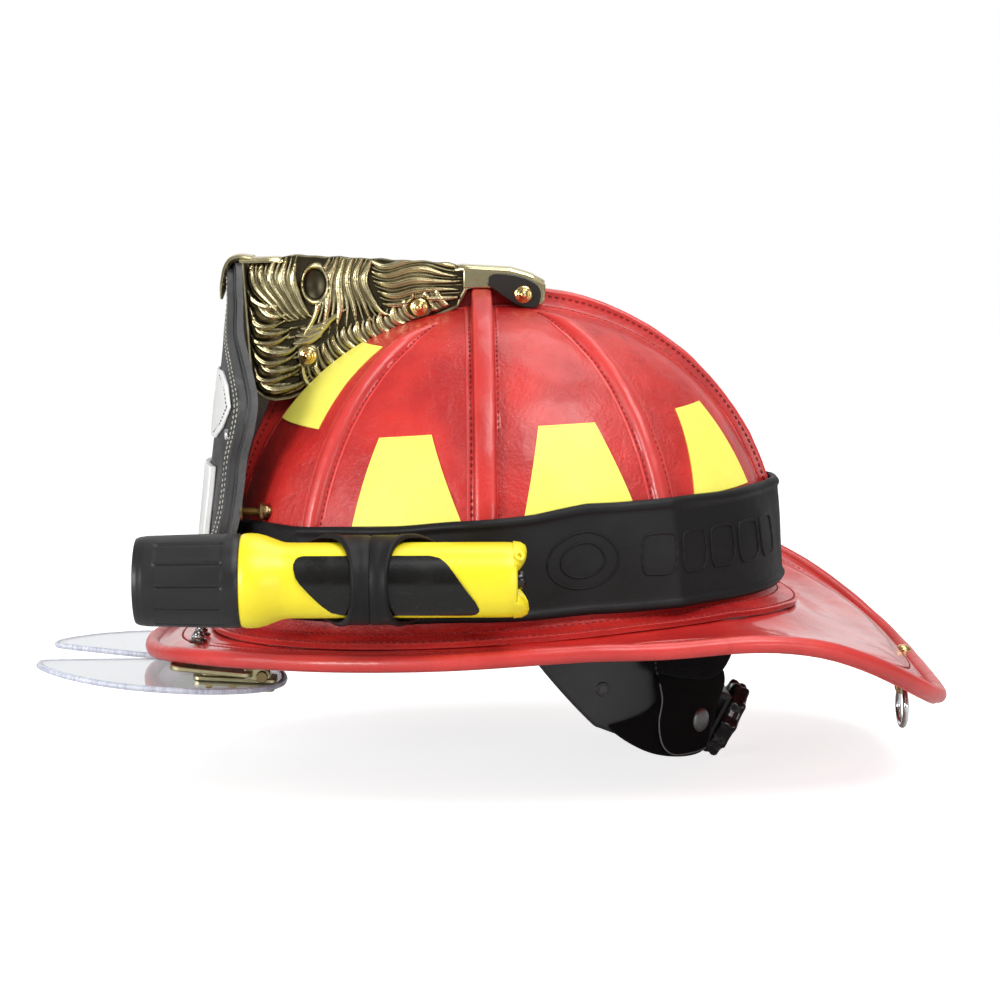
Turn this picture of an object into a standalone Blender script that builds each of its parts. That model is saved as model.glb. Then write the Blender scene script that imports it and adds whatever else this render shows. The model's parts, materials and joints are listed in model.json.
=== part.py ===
"""Traditional leather firefighter helmet with a brass front holder, a leather front piece,
flip-down eye shields, a rubber band that holds a flashlight, and a ratchet suspension.

Lengths below are millimetres. +X is the back of the helmet, -X the front, -Y the wearer's
left and +Z up. The world origin is the centre of the crown pad's underside, where the helmet
rests on top of the head. The design itself is laid out from a datum DATUM_DROP below it."""

import math

import bmesh
import bpy
import numpy as np
from mathutils import Matrix, Vector

MM = 0.001
GAP = 0.3                      # clearance between pieces that rest on each other
DATUM_DROP = 52.0              # world origin above the design datum

# crown
CROWN_X = 2.0                  # centre of the crown's plan ellipse
CROWN_AX = 128.0               # half length
CROWN_AY = 104.0               # half width
CROWN_Z = -40.0                # height of the widest section
CROWN_RISE = 133.0             # from there to the top
CROWN_FULL = 2.12              # exponent of its profile: 2 is an ellipse, more is fuller
CROWN_WALL = 3.0
FLANGE = 13.0                  # width of the turned-out foot
FLANGE_LIFT = 8.0              # height of the fillet above the foot
SEGMENTS = 44

# brim
BRIM_X = 20.0                  # station of the widest section
BRIM_FRONT = 185.5
BRIM_REAR = 185.0
BRIM_HALF = 134.0
BRIM_THICK = 3.5
ROLL_R = 3.7                   # rolled edge
TAIL_ARCH = 85.0               # how far the tail is arched before it turns down
TAIL_TWIST = 0.057              # rise of the tail to the right, per width

# combs and ribs
COMB_HEIGHT = 9.4
COMB_HALF = 4.5
SIDE_COMB_X = -9.0
RIB_HALF = 4.2
RIB_HEIGHT = 4.2
RIB_ANGLES = {"front": 135.0, "rear": 56.0}
HOLDER_HALF = 13.0
HOLDER_LIFT = 1.8                # its height above the crown, over the reflectors

# front piece
SHIELD_BEND = 109.0            # bend radius across its width
LEATHER = 3.0

# flashlight
LIGHT_Y = -132.0
LIGHT_Z = -17.6
LIGHT_R = 16.5
LIGHT_HEAD_R = 19.6
LIGHT_FRONT = -156.0
LIGHT_JOIN = -112.0
LIGHT_TAIL = 11.0

# eye shields
PIN_X = -110.0
PIN_Z = -74.0
LENS_Y = 46.0
STUD_X = -140.0
LENS_TILT = math.radians(3.0)

# ratchet
KNOB = Vector((100.0, 0.0, -102.0))
OUT = Vector((0.89, 0.0, -0.456)).normalized()
UP = Vector((0.456, 0.0, 0.89)).normalized()
RACK_R = 70.0
PINION_TEETH = 10
MODULE = 1.2
TOOTH_SLACK = 0.5

# hang ring
RING_X = 195.0
RING_Z = -91.5
RING_R = 9.5
RING_WIRE = 1.15

collection = None
cutters = None
datum = None


# ---------------------------------------------------------------- scene and helpers

def start_scene():
    global collection, cutters, datum
    for old in list(bpy.data.objects):
        bpy.data.objects.remove(old, do_unlink=True)
    collection = bpy.data.collections.new("firefighter_helmet")
    cutters = bpy.data.collections.new("cutters")
    bpy.context.scene.collection.children.link(collection)
    bpy.context.scene.collection.children.link(cutters)
    datum = bpy.data.objects.new("helmet_datum", None)
    datum.location = (0, 0, -DATUM_DROP * MM)
    collection.objects.link(datum)


def material(name, colour, roughness, metallic=0.0, alpha=1.0):
    mat = bpy.data.materials.new(name)
    mat.use_nodes = True
    shader = mat.node_tree.nodes["Principled BSDF"]
    shader.inputs["Base Color"].default_value = (*colour, 1.0)
    shader.inputs["Roughness"].default_value = roughness
    shader.inputs["Metallic"].default_value = metallic
    shader.inputs["Alpha"].default_value = alpha
    mat.diffuse_color = (*colour, alpha)
    return mat


FINISH = {
    "red": ((0.62, 0.03, 0.035), 0.3, 0.0),
    "lime": ((0.8, 0.95, 0.05), 0.6, 0.0),
    "brass": ((0.42, 0.3, 0.12), 0.35, 1.0),
    "black_leather": ((0.03, 0.032, 0.035), 0.6, 0.0),
    "white": ((0.85, 0.85, 0.83), 0.5, 0.0),
    "clear": ((0.9, 0.93, 0.96), 0.05, 0.0),
    "rubber": ((0.015, 0.015, 0.017), 0.7, 0.0),
    "yellow": ((0.85, 0.82, 0.02), 0.35, 0.0),
    "black_plastic": ((0.02, 0.02, 0.022), 0.4, 0.0),
    "chrome": ((0.8, 0.8, 0.82), 0.15, 1.0),
    "foam": ((0.12, 0.12, 0.12), 0.9, 0.0),
    "webbing": ((0.03, 0.03, 0.03), 0.85, 0.0),
    "suede": ((0.012, 0.012, 0.013), 0.95, 0.0),
}


def place(name, mesh, finish, location=(0, 0, 0), rotation=(0, 0, 0), where=None):
    obj = bpy.data.objects.new(name, mesh)
    (where or collection).objects.link(obj)
    obj.parent = datum
    obj.location = Vector(location) * MM
    obj.rotation_euler = rotation
    if where is cutters:
        obj.hide_render = True
        obj.display_type = "WIRE"
    else:
        colour, roughness, metallic = FINISH[finish]
        alpha = 0.35 if finish == "clear" else 1.0
        mesh.materials.append(material(name, colour, roughness, metallic, alpha))
        mesh.shade_smooth()
        mesh.set_sharp_from_angle(angle=math.radians(35))
    return obj


def mesh_from(bm, name):
    bmesh.ops.remove_doubles(bm, verts=bm.verts, dist=0.00001)
    mesh = bpy.data.meshes.new(name)
    bm.to_mesh(mesh)
    bm.free()
    return mesh


def loft(name, rings, around=True, capped=True, ring_of_rings=False):
    """Skin a list of equal-length rings of points (mm)."""
    bm = bmesh.new()
    rows = [[bm.verts.new(Vector(p) * MM) for p in ring] for ring in rings]
    count = len(rings[0])
    steps = count if around else count - 1
    pairs = list(zip(rows, rows[1:]))
    if ring_of_rings:
        pairs.append((rows[-1], rows[0]))
    for low, high in pairs:
        for i in range(steps):
            j = (i + 1) % count
            bm.faces.new((low[i], low[j], high[j], high[i]))
    if capped and not ring_of_rings:
        bm.faces.new(list(reversed(rows[0])))
        bm.faces.new(rows[-1])
    bmesh.ops.remove_doubles(bm, verts=bm.verts, dist=0.00001)
    if capped or ring_of_rings:
        bmesh.ops.recalc_face_normals(bm, faces=bm.faces)
    return mesh_from(bm, name)


def solidify(obj, thickness, offset=-1.0):
    mod = obj.modifiers.new("thickness", "SOLIDIFY")
    mod.thickness = thickness * MM
    mod.offset = offset
    mod.use_even_offset = True


def combine(obj, other, operation="DIFFERENCE"):
    mod = obj.modifiers.new(operation.lower(), "BOOLEAN")
    mod.operation = operation
    mod.solver = "EXACT"
    mod.object = other


def turned(name, profile, finish, location, rotation, closed=False, steps=32, where=None,
           flip=False):
    """A profile of (radius, height) that runs down its outer side, turned about local Z."""
    bm = bmesh.new()
    verts = [bm.verts.new((r * MM, 0, z * MM)) for r, z in profile]
    for a, b in zip(verts, verts[1:]):
        bm.edges.new((a, b))
    if closed:
        bm.edges.new((verts[-1], verts[0]))
    mesh = bpy.data.meshes.new(name)
    bm.to_mesh(mesh)
    bm.free()
    obj = place(name, mesh, finish, location, rotation, where)
    mod = obj.modifiers.new("turn", "SCREW")
    mod.steps = steps
    mod.render_steps = steps
    mod.use_merge_vertices = True
    mod.merge_threshold = 0.00001
    mod.use_normal_flip = flip
    return obj


def rod(name, radius, length, finish, location, rotation, steps=24, where=None):
    """A plain cylinder that starts at its location and runs along local +Z."""
    return turned(name, [(0, length), (radius, length), (radius, 0), (0, 0)],
                  finish, location, rotation, steps=steps, where=where)


def block(name, size, finish, location, rotation=(0, 0, 0), bevel=0.0, where=None):
    bm = bmesh.new()
    bmesh.ops.create_cube(bm, size=1.0)
    bmesh.ops.scale(bm, vec=Vector(size) * MM, verts=bm.verts)
    obj = place(name, mesh_from(bm, name), finish, location, rotation, where)
    if bevel:
        mod = obj.modifiers.new("round", "BEVEL")
        mod.width = bevel * MM
        mod.segments = 2
    return obj


def outline_plate(name, outline, thickness, finish, location, rotation, where=None):
    """A closed outline (local X, Y) extruded evenly about its own plane."""
    curve = bpy.data.curves.new(name + "_outline", "CURVE")
    curve.dimensions = "2D"
    curve.fill_mode = "BOTH"
    curve.extrude = thickness / 2 * MM
    spline = curve.splines.new("POLY")
    spline.points.add(len(outline) - 1)
    for point, (x, y) in zip(spline.points, outline):
        point.co = (x * MM, y * MM, 0, 1)
    spline.use_cyclic_u = True
    holder = bpy.data.objects.new(name + "_curve", curve)
    collection.objects.link(holder)
    bpy.context.view_layer.update()
    evaluated = holder.evaluated_get(bpy.context.evaluated_depsgraph_get())
    bm = bmesh.new()
    bm.from_mesh(bpy.data.meshes.new_from_object(evaluated))
    bpy.data.objects.remove(holder, do_unlink=True)
    return place(name, mesh_from(bm, name), finish, location, rotation, where)


ALONG_X = (0, math.radians(90), 0)
AGAINST_X = (0, math.radians(-90), 0)
ALONG_Y = (math.radians(-90), 0, 0)
SIDES = {"left": -1, "right": 1}


# ---------------------------------------------------------------- crown

def flange_height(x):
    """Height of the crown's foot, which follows the brim's gentle wave."""
    return float(np.interp(x, (-139, -89, -46, -3, 57, 100, 130, 143),
                           (-58.5, -55, -52, -49, -45, -43.5, -45.5, -48)))


def crown_scale(z):
    lift = max(0.0, z - CROWN_Z) / CROWN_RISE
    return max(0.0, 1.0 - lift ** CROWN_FULL) ** (1 / CROWN_FULL)


def crown_section(angle, z, grow=0.0):
    """A point of the crown at a height, grown outwards in plan."""
    scale = crown_scale(z)
    c, s = math.cos(angle), math.sin(angle)
    normal = Vector((c / CROWN_AX, s / CROWN_AY, 0)).normalized()
    return Vector((CROWN_X + CROWN_AX * scale * c, CROWN_AY * scale * s, z)) + normal * grow


def crown_normal(point):
    x = (point.x - CROWN_X) / CROWN_AX
    y = point.y / CROWN_AY
    spread = max(math.hypot(x, y), 1e-6) ** (CROWN_FULL - 2)
    lift = max(0.0, point.z - CROWN_Z) / CROWN_RISE
    return Vector((spread * x / CROWN_AX, spread * y / CROWN_AY,
                   lift ** (CROWN_FULL - 1) / CROWN_RISE)).normalized()


def dome(angle, lift, shrink=0.0):
    """A point of the crown's form, or of a smaller one inside it, by plan and lift angle."""
    power = 2 / CROWN_FULL
    spread = math.copysign(abs(math.cos(lift)) ** power, math.cos(lift))
    level = math.copysign(abs(math.sin(lift)) ** power, lift)
    return Vector((CROWN_X + (CROWN_AX - shrink) * spread * math.cos(angle),
                   (CROWN_AY - shrink) * spread * math.sin(angle),
                   CROWN_Z + (CROWN_RISE - shrink) * level))


def meridian(angle, lift, grow=0.0):
    """A crown point by plan angle and lift angle, grown along the surface normal."""
    point = dome(angle, lift)
    return point + crown_normal(point) * grow


def plan_angles(count=SEGMENTS):
    return [2 * math.pi * i / count for i in range(count)]


def crown_shell():
    rings = []
    foot = [(FLANGE, 0.2), (5.0, 0.6), (1.0, 3.0), (0.0, FLANGE_LIFT)]
    for grow, lift in foot:
        ring = []
        for angle in plan_angles():
            x = crown_section(angle, CROWN_Z, grow).x
            ring.append(crown_section(angle, flange_height(x) + CROWN_WALL + lift, grow))
        rings.append(ring)
    levels = [math.sin(math.radians(a)) for a in (10, 25, 40, 54, 67, 79, 90)]
    top = CROWN_Z + CROWN_RISE
    for level in levels:
        ring = []
        for start in rings[3]:
            angle = math.atan2(start.y / CROWN_AY, (start.x - CROWN_X) / CROWN_AX)
            ring.append(crown_section(angle, start.z + (top - start.z) * level))
        rings.append(ring)
    obj = place("crown_shell", loft("crown_shell", rings, capped=False), "red")
    solidify(obj, CROWN_WALL)
    return obj


def sweep(name, stations, section):
    """Carry a section of (across, out) points along stations of (place, across, out)."""
    rings = []
    for spot, across, outward in stations:
        points = section(spot) if callable(section) else section
        rings.append([spot + across * a + outward * b for a, b in points])
    return loft(name, rings)


def comb_section(half, height, grow=0.0):
    h, t = half + grow, height + grow
    return [(-h, 0), (-h, t * 0.75), (-h * 0.65, t), (h * 0.65, t), (h, t * 0.75), (h, 0)]


def side_station(lift, side):
    """A crown point in the plane of the side combs."""
    offset = abs(SIDE_COMB_X - CROWN_X) / CROWN_AX
    power = 2 / CROWN_FULL
    highest = (1 - offset ** CROWN_FULL) ** (1 / CROWN_FULL)
    level = highest * math.copysign(abs(math.sin(lift)) ** power, lift)
    spread = max(0.0, 1 - max(0.0, level) ** CROWN_FULL) ** (1 / CROWN_FULL)
    y = math.sqrt(max(0.0, spread ** 2 - offset ** 2))
    return Vector((SIDE_COMB_X, side * CROWN_AY * math.copysign(y, math.cos(lift)),
                   CROWN_Z + CROWN_RISE * level))


def ridge_stations(kind, first, last, count, lift=GAP):
    """Stations of a comb from its foot (first) towards the top (last), by lift angle."""
    stations = []
    for i in range(count):
        a = math.radians(first + (last - first) * i / (count - 1))
        if kind in ("front", "rear"):
            angle = 0.0 if kind == "rear" else math.pi
            spot = meridian(angle, a)
            outward = crown_normal(spot)
            across = Vector((0, 1, 0))
        else:
            side = SIDES[kind]
            spot = side_station(a, side)
            normal = crown_normal(spot)
            outward = Vector((0, normal.y, normal.z)).normalized()
            across = Vector((1, 0, 0))
        stations.append((spot + outward * lift, across, outward))
    return stations


COMB_SPANS = {"front": (-1, 83.2), "rear": (2, 91.6), "left": (1.5, 87.2), "right": (1.5, 87.2)}


def comb_height(kind, z):
    """The combs fade to a low welt at the brim, and the front one has a fin above it."""
    if kind == "front":
        return float(np.interp(z, (-40, -3, 9, 23, 39, 46, 54, 70),
                               (2.6, 3.2, 4.4, 5.8, 8.2, 10.5, 9.5, 8.2)))
    return float(np.interp(z, (-38, -20, 0, 10, 30, 56, 75, 90),
                           (1.4, 2.4, 4.6, 5.6, 6.1, 6.3, 7.2, COMB_HEIGHT - 0.6)))


def combs():
    made = {}
    for kind, (first, last) in COMB_SPANS.items():
        lift = 2 * GAP if kind in SIDES else GAP
        stations = ridge_stations(kind, first, last, 17, lift)
        mesh = sweep("comb_" + kind, stations,
                     lambda spot: comb_section(COMB_HALF, comb_height(kind, spot.z)))
        made[kind] = place("comb_" + kind, mesh, "red")
    return made


def crown_cutter():
    """The crown's form, a little swollen, which shapes what rests on it."""
    rings = []
    for degrees in (20, 32, 44, 55, 66, 76, 84, 90):
        rings.append([meridian(angle, math.radians(degrees), HOLDER_LIFT) for angle in plan_angles()])
    rings[-1] = [rings[-1][0]] * len(rings[-1])
    return place("crown_form", closed_dome("crown_form", rings), None, where=cutters)


def closed_dome(name, rings):
    """A loft whose last ring is one point, closed by a floor under the first ring."""
    bm = bmesh.new()
    rows = [[bm.verts.new(p * MM) for p in ring] for ring in rings[:-1]]
    tip = bm.verts.new(rings[-1][0] * MM)
    count = len(rows[0])
    for low, high in zip(rows, rows[1:]):
        for i in range(count):
            j = (i + 1) % count
            bm.faces.new((low[i], low[j], high[j], high[i]))
    for i in range(count):
        bm.faces.new((rows[-1][i], rows[-1][(i + 1) % count], tip))
    bm.faces.new(list(reversed(rows[0])))
    return mesh_from(bm, name)


def comb_cutters():
    """Swollen copies of the combs, which shape the underside of the front holder."""
    made = []
    spans = {"front": (30, 84), "rear": (70, 92.5), "left": (60, 91), "right": (60, 91)}
    for kind, (first, last) in spans.items():
        stations = ridge_stations(kind, first, last, 12, lift=-3.0)
        mesh = sweep("comb_slot_" + kind, stations,
                     lambda spot: comb_section(COMB_HALF, comb_height(kind, spot.z) + 2 * GAP + 3.0, 0.6))
        made.append(place("comb_slot_" + kind, mesh, None, where=cutters))
    return made


def ribs():
    """Four low ribs on the diagonals, tapered at the top."""
    for end, degrees in RIB_ANGLES.items():
        for side, sign in SIDES.items():
            angle = math.radians(degrees) * sign
            rings = []
            for i in range(13):
                t = i / 12
                lift = math.radians(3 + 64 * t)
                spot = meridian(angle, lift, GAP)
                outward = crown_normal(spot)
                ahead = meridian(angle, lift + 0.02) - meridian(angle, lift - 0.02)
                across = outward.cross(ahead).normalized()
                fade = min(1.0, (1 - t) * 5 + 0.12)
                half, height = RIB_HALF * (0.55 + 0.45 * fade), RIB_HEIGHT * fade
                arc = [(math.cos(a), math.sin(a)) for a in np.linspace(math.pi, 0, 5)]
                rings.append([spot + across * half * c + outward * height * s for c, s in arc])
            name = "rib_{}_{}".format(end, side)
            place(name, loft(name, rings), "red")


def crown_angles(x, z):
    """Plan and lift angle of the crown point on the left side with this x and z."""
    level = (z - CROWN_Z) / CROWN_RISE
    lift = math.asin(min(1.0, level) ** (CROWN_FULL / 2))
    c = (x - CROWN_X) / (CROWN_AX * math.cos(lift) ** (2 / CROWN_FULL))
    return -math.acos(max(-0.998, min(0.998, c))), lift


def crown_patch(corners, along=4, down=4):
    """A grid of crown points inside four (x, z) corners on the left side."""
    top_a, top_b, low_b, low_a = [crown_angles(*corner) for corner in corners]
    grid = []
    for j in range(down + 1):
        row = []
        v = j / down
        for i in range(along + 1):
            u = i / along
            angle, lift = [(1 - v) * ((1 - u) * top_a[k] + u * top_b[k])
                           + v * ((1 - u) * low_a[k] + u * low_b[k]) for k in (0, 1)]
            row.append(dome(angle, lift))
        grid.append(row)
    return grid


REFLECTORS = {
    "front_side": [(-55, 36.6), (-32, 38.6), (-19, 1.5), (-67, -1.5)],
    "rear_side": [(14.5, 42.5), (39.5, 43.5), (56, 9), (7.5, 2.3)],
    "front": [(-64, 75.5), (-54.5, 74.5), (-83, 38.5), (-101.5, 40.5)],
    "rear": [(77.5, 47.5), (90, 49.5), (112.5, 12), (84.7, 10)],
}


def reflectors():
    for where, corners in REFLECTORS.items():
        for side, sign in SIDES.items():
            grid = crown_patch(corners)
            for row in grid:
                for p in row:
                    p += crown_normal(p) * 0.4
                    p.y *= -sign
            name = "reflector_{}_{}".format(where, side)
            bm = bmesh.new()
            rows = [[bm.verts.new(p * MM) for p in row] for row in grid]
            for low, high in zip(rows, rows[1:]):
                for i in range(len(low) - 1):
                    quad = (low[i], high[i], high[i + 1], low[i + 1])
                    bm.faces.new(quad if sign < 0 else tuple(reversed(quad)))
            obj = place(name, mesh_from(bm, name), "lime")
            solidify(obj, 0.5, offset=1.0)


# ---------------------------------------------------------------- brim

def brim_edge_height(x, y):
    """Height of the rolled edge. The tail dips, and it is twisted a little, right side up."""
    level = np.interp(x, (-165.5, -149, -112, -67, -25, 18, 60, 82, 103, 130, 150, 170, 190, 203, 210.5),
                      (-68.5, -62.6, -58.8, -56.1, -53.4, -49.8, -47.5, -44.0, -40.5, -41.2, -47.8,
                       -58.2, -72.0, -82.4, -94))
    share = min(1.0, max(0.0, (x - 30) / 110))
    return float(level) + TAIL_TWIST * y * share * share * (3 - 2 * share)


def brim_outline(angle, inset=0.0):
    c, s = math.cos(angle), math.sin(angle)
    rear = c > 0
    power = 3.0 if rear else 2.0
    reach = BRIM_REAR if rear else BRIM_FRONT
    shrink = 1 - inset / reach
    edge_x = BRIM_X + reach * math.copysign(abs(c) ** (2 / power), c)
    x = BRIM_X + (edge_x - BRIM_X) * shrink
    y = (BRIM_HALF - inset) * math.copysign(abs(s) ** (2 / power), s)
    return Vector((x, y, brim_edge_height(edge_x, y)))


def brim():
    inset = ROLL_R + 4 * GAP
    inner, under_foot = [], []
    rings = [inner, under_foot]
    for angle in plan_angles():
        for ring, grow in ((inner, -6.0), (under_foot, FLANGE)):
            p = crown_section(angle, CROWN_Z, grow)
            foot = crown_section(angle, CROWN_Z, FLANGE)
            ring.append(Vector((p.x, p.y, flange_height(foot.x) - GAP)))
    outer = [brim_outline(angle, inset) + Vector((0, 0, BRIM_THICK / 2)) for angle in plan_angles()]
    for s in (0.3, 0.6, 0.82, 1.0):
        ring = []
        for a, b in zip(under_foot, outer):
            p = a.lerp(b, s)
            p.z += TAIL_ARCH * s ** 3 * (1 - s) * max(0.0, (b.x - 120) / 90) ** 1.5
            ring.append(p)
        rings.append(ring)
    obj = place("brim", loft("brim", rings, capped=False), "red")
    solidify(obj, BRIM_THICK, offset=1.0)
    return obj


def brim_edge_roll():
    count = 64
    rings = []
    spots = [brim_outline(2 * math.pi * i / count) for i in range(count)]
    for i, spot in enumerate(spots):
        ahead = (spots[(i + 1) % count] - spots[i - 1]).normalized()
        outward = ahead.cross(Vector((0, 0, 1))).normalized()
        up = outward.cross(ahead).normalized()
        ring = []
        for k in range(6):
            a = 2 * math.pi * k / 6
            ring.append(spot + (outward * math.cos(a) + up * math.sin(a)) * ROLL_R)
        rings.append(ring)
    place("brim_edge_roll", loft("brim_edge_roll", rings, ring_of_rings=True), "red")


# ---------------------------------------------------------------- front holder and front piece

HOLDER_OUTLINE = [
    (-128.4, 98), (-131.5, 97), (-133, 108), (-131.5, 113), (-126, 116), (-94, 115.3), (-47, 113), (5, 110),
    (14, 107.4), (21.3, 103.6), (19.0, 90), (0, 90), (-2.5, 100.5), (-15.5, 100.5),
    (-20, 92), (-28, 88), (-38, 85), (-47, 80), (-56, 75), (-70, 67), (-80, 60),
    (-89, 52), (-98.6, 49), (-105.6, 48), (-114.5, 50), (-117, 62), (-116.6, 113.4),
    (-128.4, 113.4),
]
HOLDER_BOLTS = [(-90, 69.8), (-38, 92.3), (10.5, 98.2)]
BOLT_R = 2.0


def front_holder(comb):
    outline = list(reversed(HOLDER_OUTLINE))
    obj = outline_plate("front_holder", outline, 2 * HOLDER_HALF, "brass", (0, 0, 0),
                        (math.radians(90), 0, 0))
    for cutter in [crown_cutter()] + comb_cutters():
        combine(obj, cutter)
    for i, (x, z) in enumerate(HOLDER_BOLTS):
        hole = rod("holder_hole_{}".format(i + 1), BOLT_R + GAP, 60, None, (x, -30, z),
                   ALONG_Y, 12, cutters)
        combine(obj, hole)
        combine(comb["rear" if x > 0 else "front"], hole)
        half = HOLDER_HALF + GAP
        profile = [(0, half + 4), (2.6, half + 3.4), (3.6, half + 1.6), (3.6, half), (BOLT_R, half),
                   (BOLT_R, -half), (3.6, -half), (3.6, -half - 2), (0, -half - 2)]
        turned("holder_bolt_{}".format(i + 1), profile, "brass", (x, 0, z),
               (math.radians(90), 0, 0), steps=16)


def shield_front(z):
    """Distance in X of the front piece's front face on its centre line."""
    return float(np.interp(z, (-39, -4, 24, 48, 67, 81, 95, 113),
                           (-142.6, -139.0, -136.2, -133.3, -131.3, -130, -128.1, -128)))


SHIELD_ROWS = [(113, 10), (110, 17), (104, 20), (97, 22.5), (83, 31), (69.5, 45.5), (58, 56),
               (50, 60), (38, 59), (26, 54.5), (10, 53), (-4, 52), (-16, 46), (-28, 33), (-36, 15),
               (-39, 6)]


def bent_plate(name, rows, back, thick, finish, columns=6):
    """A plate with a half width for each height, bent about a vertical axis."""
    rings = []
    for z, half in rows:
        front_side, back_side = [], []
        for i in range(columns + 1):
            y = half * (2 * i / columns - 1)
            x = shield_front(z) + y * y / (2 * SHIELD_BEND)
            front_side.append(Vector((x + back - thick, y, z)))
            back_side.append(Vector((x + back, y, z)))
        rings.append(front_side + list(reversed(back_side)))
    return place(name, loft(name, rings), finish)


def inset_rows(rows, margin):
    top, bottom = rows[0][0], rows[-1][0]
    middle = (top + bottom) / 2
    squeeze = 1 - 2 * margin / (top - bottom)
    return [(middle + (z - middle) * squeeze, max(half - margin, 2.0)) for z, half in rows]


def front_piece():
    bent_plate("shield_backing", SHIELD_ROWS, 2 * LEATHER + 3 * GAP, LEATHER, "black_leather")
    bent_plate("shield_face", inset_rows(SHIELD_ROWS, 2.5), LEATHER, LEATHER, "black_leather")
    name_rows = [(64, 30), (58, 42), (48.5, 49), (39, 42), (33, 30)]
    bent_plate("shield_name_panel", name_rows, -2 * GAP, 1.5, "white")
    number_rows = [(20, 33), (-17, 33)]
    panel = bent_plate("shield_number_bars", number_rows, -2 * GAP, 3.0, "white")
    for y in (-11.5, 11.5):
        slot = block("bar_gap_{}".format("left" if y < 0 else "right"), (60, 5, 30), None,
                     (-140, y, -3), where=cutters)
        combine(panel, slot)
    for side, sign in SIDES.items():
        profile = [(0, 13.0), (2.0, 13.0), (2.0, 11.2), (3.6, 11.2), (3.6, 6.5), (2.0, 6.5),
                   (2.0, 0), (0, 0)]
        turned("shield_standoff_" + side, profile, "brass", (-119.0, sign * 49, 1.0), ALONG_X,
               steps=12)


# ---------------------------------------------------------------- eye shields

LENS_EDGE = [
    (-106, 25), (-100, 19.5), (-50, 5.5), (-12, 6), (0, 10), (6.5, 20), (9, 34), (7.5, 48), (0, 60),
    (-14, 68), (-32, 71.5), (-52, 70), (-70, 64), (-86, 54), (-98, 42), (-105, 31),
]


def lens_outline(sign):
    """Plan of one lens about its pin: straight inside, bulging outside, a narrow free end."""
    return [(x, sign * (y - LENS_Y)) for x, y in LENS_EDGE]


def eye_shields(brim_obj):
    drop = 5.0
    for side, sign in SIDES.items():
        y = sign * LENS_Y
        tilt = (0, LENS_TILT, 0)
        outline_plate("eyeshield_lens_" + side, lens_outline(sign), 2.5, "clear",
                      (PIN_X, y, PIN_Z - drop), tilt)
        clip = block("eyeshield_clip_" + side, (34, 12.4, 1.8), "brass",
                     (PIN_X - 12, y, PIN_Z - drop + 2.45 + 0.63), tilt)
        knuckle = rod("knuckle_" + side, 3.5, 12, None, (PIN_X, y - 6, PIN_Z), ALONG_Y, 16, cutters)
        bore = rod("bore_" + side, 1.9, 20, None, (PIN_X, y - 10, PIN_Z), ALONG_Y, 16, cutters)
        combine(clip, knuckle, "UNION")
        combine(clip, bore)
        bracket = block("eyeshield_bracket_" + side, (38, 46, 2.5), "brass",
                        (-133, y - sign * 8, -70.8), (0, math.radians(6), 0))
        ears = []
        for i, edge in enumerate((-1, 1)):
            ears.append(block("ear_{}_{}".format(side, i), (11.3, 3, 5.65), None,
                              (PIN_X - 2.85, y + edge * 8.2, PIN_Z + 0.825), where=cutters))
            ears.append(block("ear_foot_{}_{}".format(side, i), (10, 3, 2.5), None,
                              (PIN_X - 8, y + edge * 8.2, PIN_Z + 0.9), where=cutters))
        ears.append(rod("pin_" + side, 1.5, 19.4, None, (PIN_X, y - 9.7, PIN_Z), ALONG_Y, 16, cutters))
        for i, stud_y in enumerate((30, 45)):
            spot = (STUD_X, sign * stud_y, -70)
            profile = [(0, 17.5), (1.6, 16.6), (2.8, 14.6), (2.8, 11.6), (1.5, 11.6), (1.5, 0), (0, 0)]
            ears.append(turned("stud_{}_{}".format(side, i), profile, None, spot, (0, 0, 0),
                               steps=12, where=cutters))
            hole = rod("stud_hole_{}_{}".format(side, i), 2.1, 30, None,
                       (STUD_X, sign * stud_y, -80), (0, 0, 0), 12, cutters)
            combine(brim_obj, hole)
        for piece in ears:
            combine(bracket, piece, "UNION")


# ---------------------------------------------------------------- rubber band and flashlight

def proud(point, height):
    """Point moved outwards in plan until it clears something of this height on the crown."""
    normal = crown_normal(point)
    level = Vector((normal.x, normal.y, 0))
    return point + level.normalized() * ((height + 3 * GAP) / level.length)


def band_radius(angle, z):
    """Plan radius of the stretched band: it bridges between the combs like a taut belt."""
    points = [proud(crown_section(a, z), 0) for a in plan_angles(96)]
    shoulder = COMB_HALF + 2
    for a in (0, math.pi):
        tip = proud(crown_section(a, z), comb_height("front" if a else "rear", z) + 2 * GAP)
        points += [Vector((tip.x, y, z)) for y in (-shoulder, shoulder)]
    for sign in (-1, 1):
        offset = (SIDE_COMB_X - CROWN_X) / CROWN_AX
        half = CROWN_AY * math.sqrt(crown_scale(z) ** 2 - offset ** 2)
        tip = proud(Vector((SIDE_COMB_X, sign * half, z)), comb_height("left", z) + 2 * GAP)
        points += [Vector((SIDE_COMB_X + dx, tip.y, z)) for dx in (-shoulder, shoulder)]
        for degrees in RIB_ANGLES.values():
            points.append(proud(crown_section(math.radians(degrees) * sign, z), RIB_HEIGHT + 1))
    best = 0.0
    ray = Vector((math.cos(angle), math.sin(angle)))
    hull = convex_hull([(p.x - CROWN_X, p.y) for p in points])
    for (ax, ay), (bx, by) in zip(hull, hull[1:] + hull[:1]):
        ex, ey = bx - ax, by - ay
        det = ray.x * ey - ray.y * ex
        if abs(det) < 1e-9:
            continue
        t = (ax * ey - ay * ex) / det
        u = (ax * ray.y - ay * ray.x) / det
        if t > 0 and -1e-6 <= u <= 1 + 1e-6:
            best = max(best, t)
    return best


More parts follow.
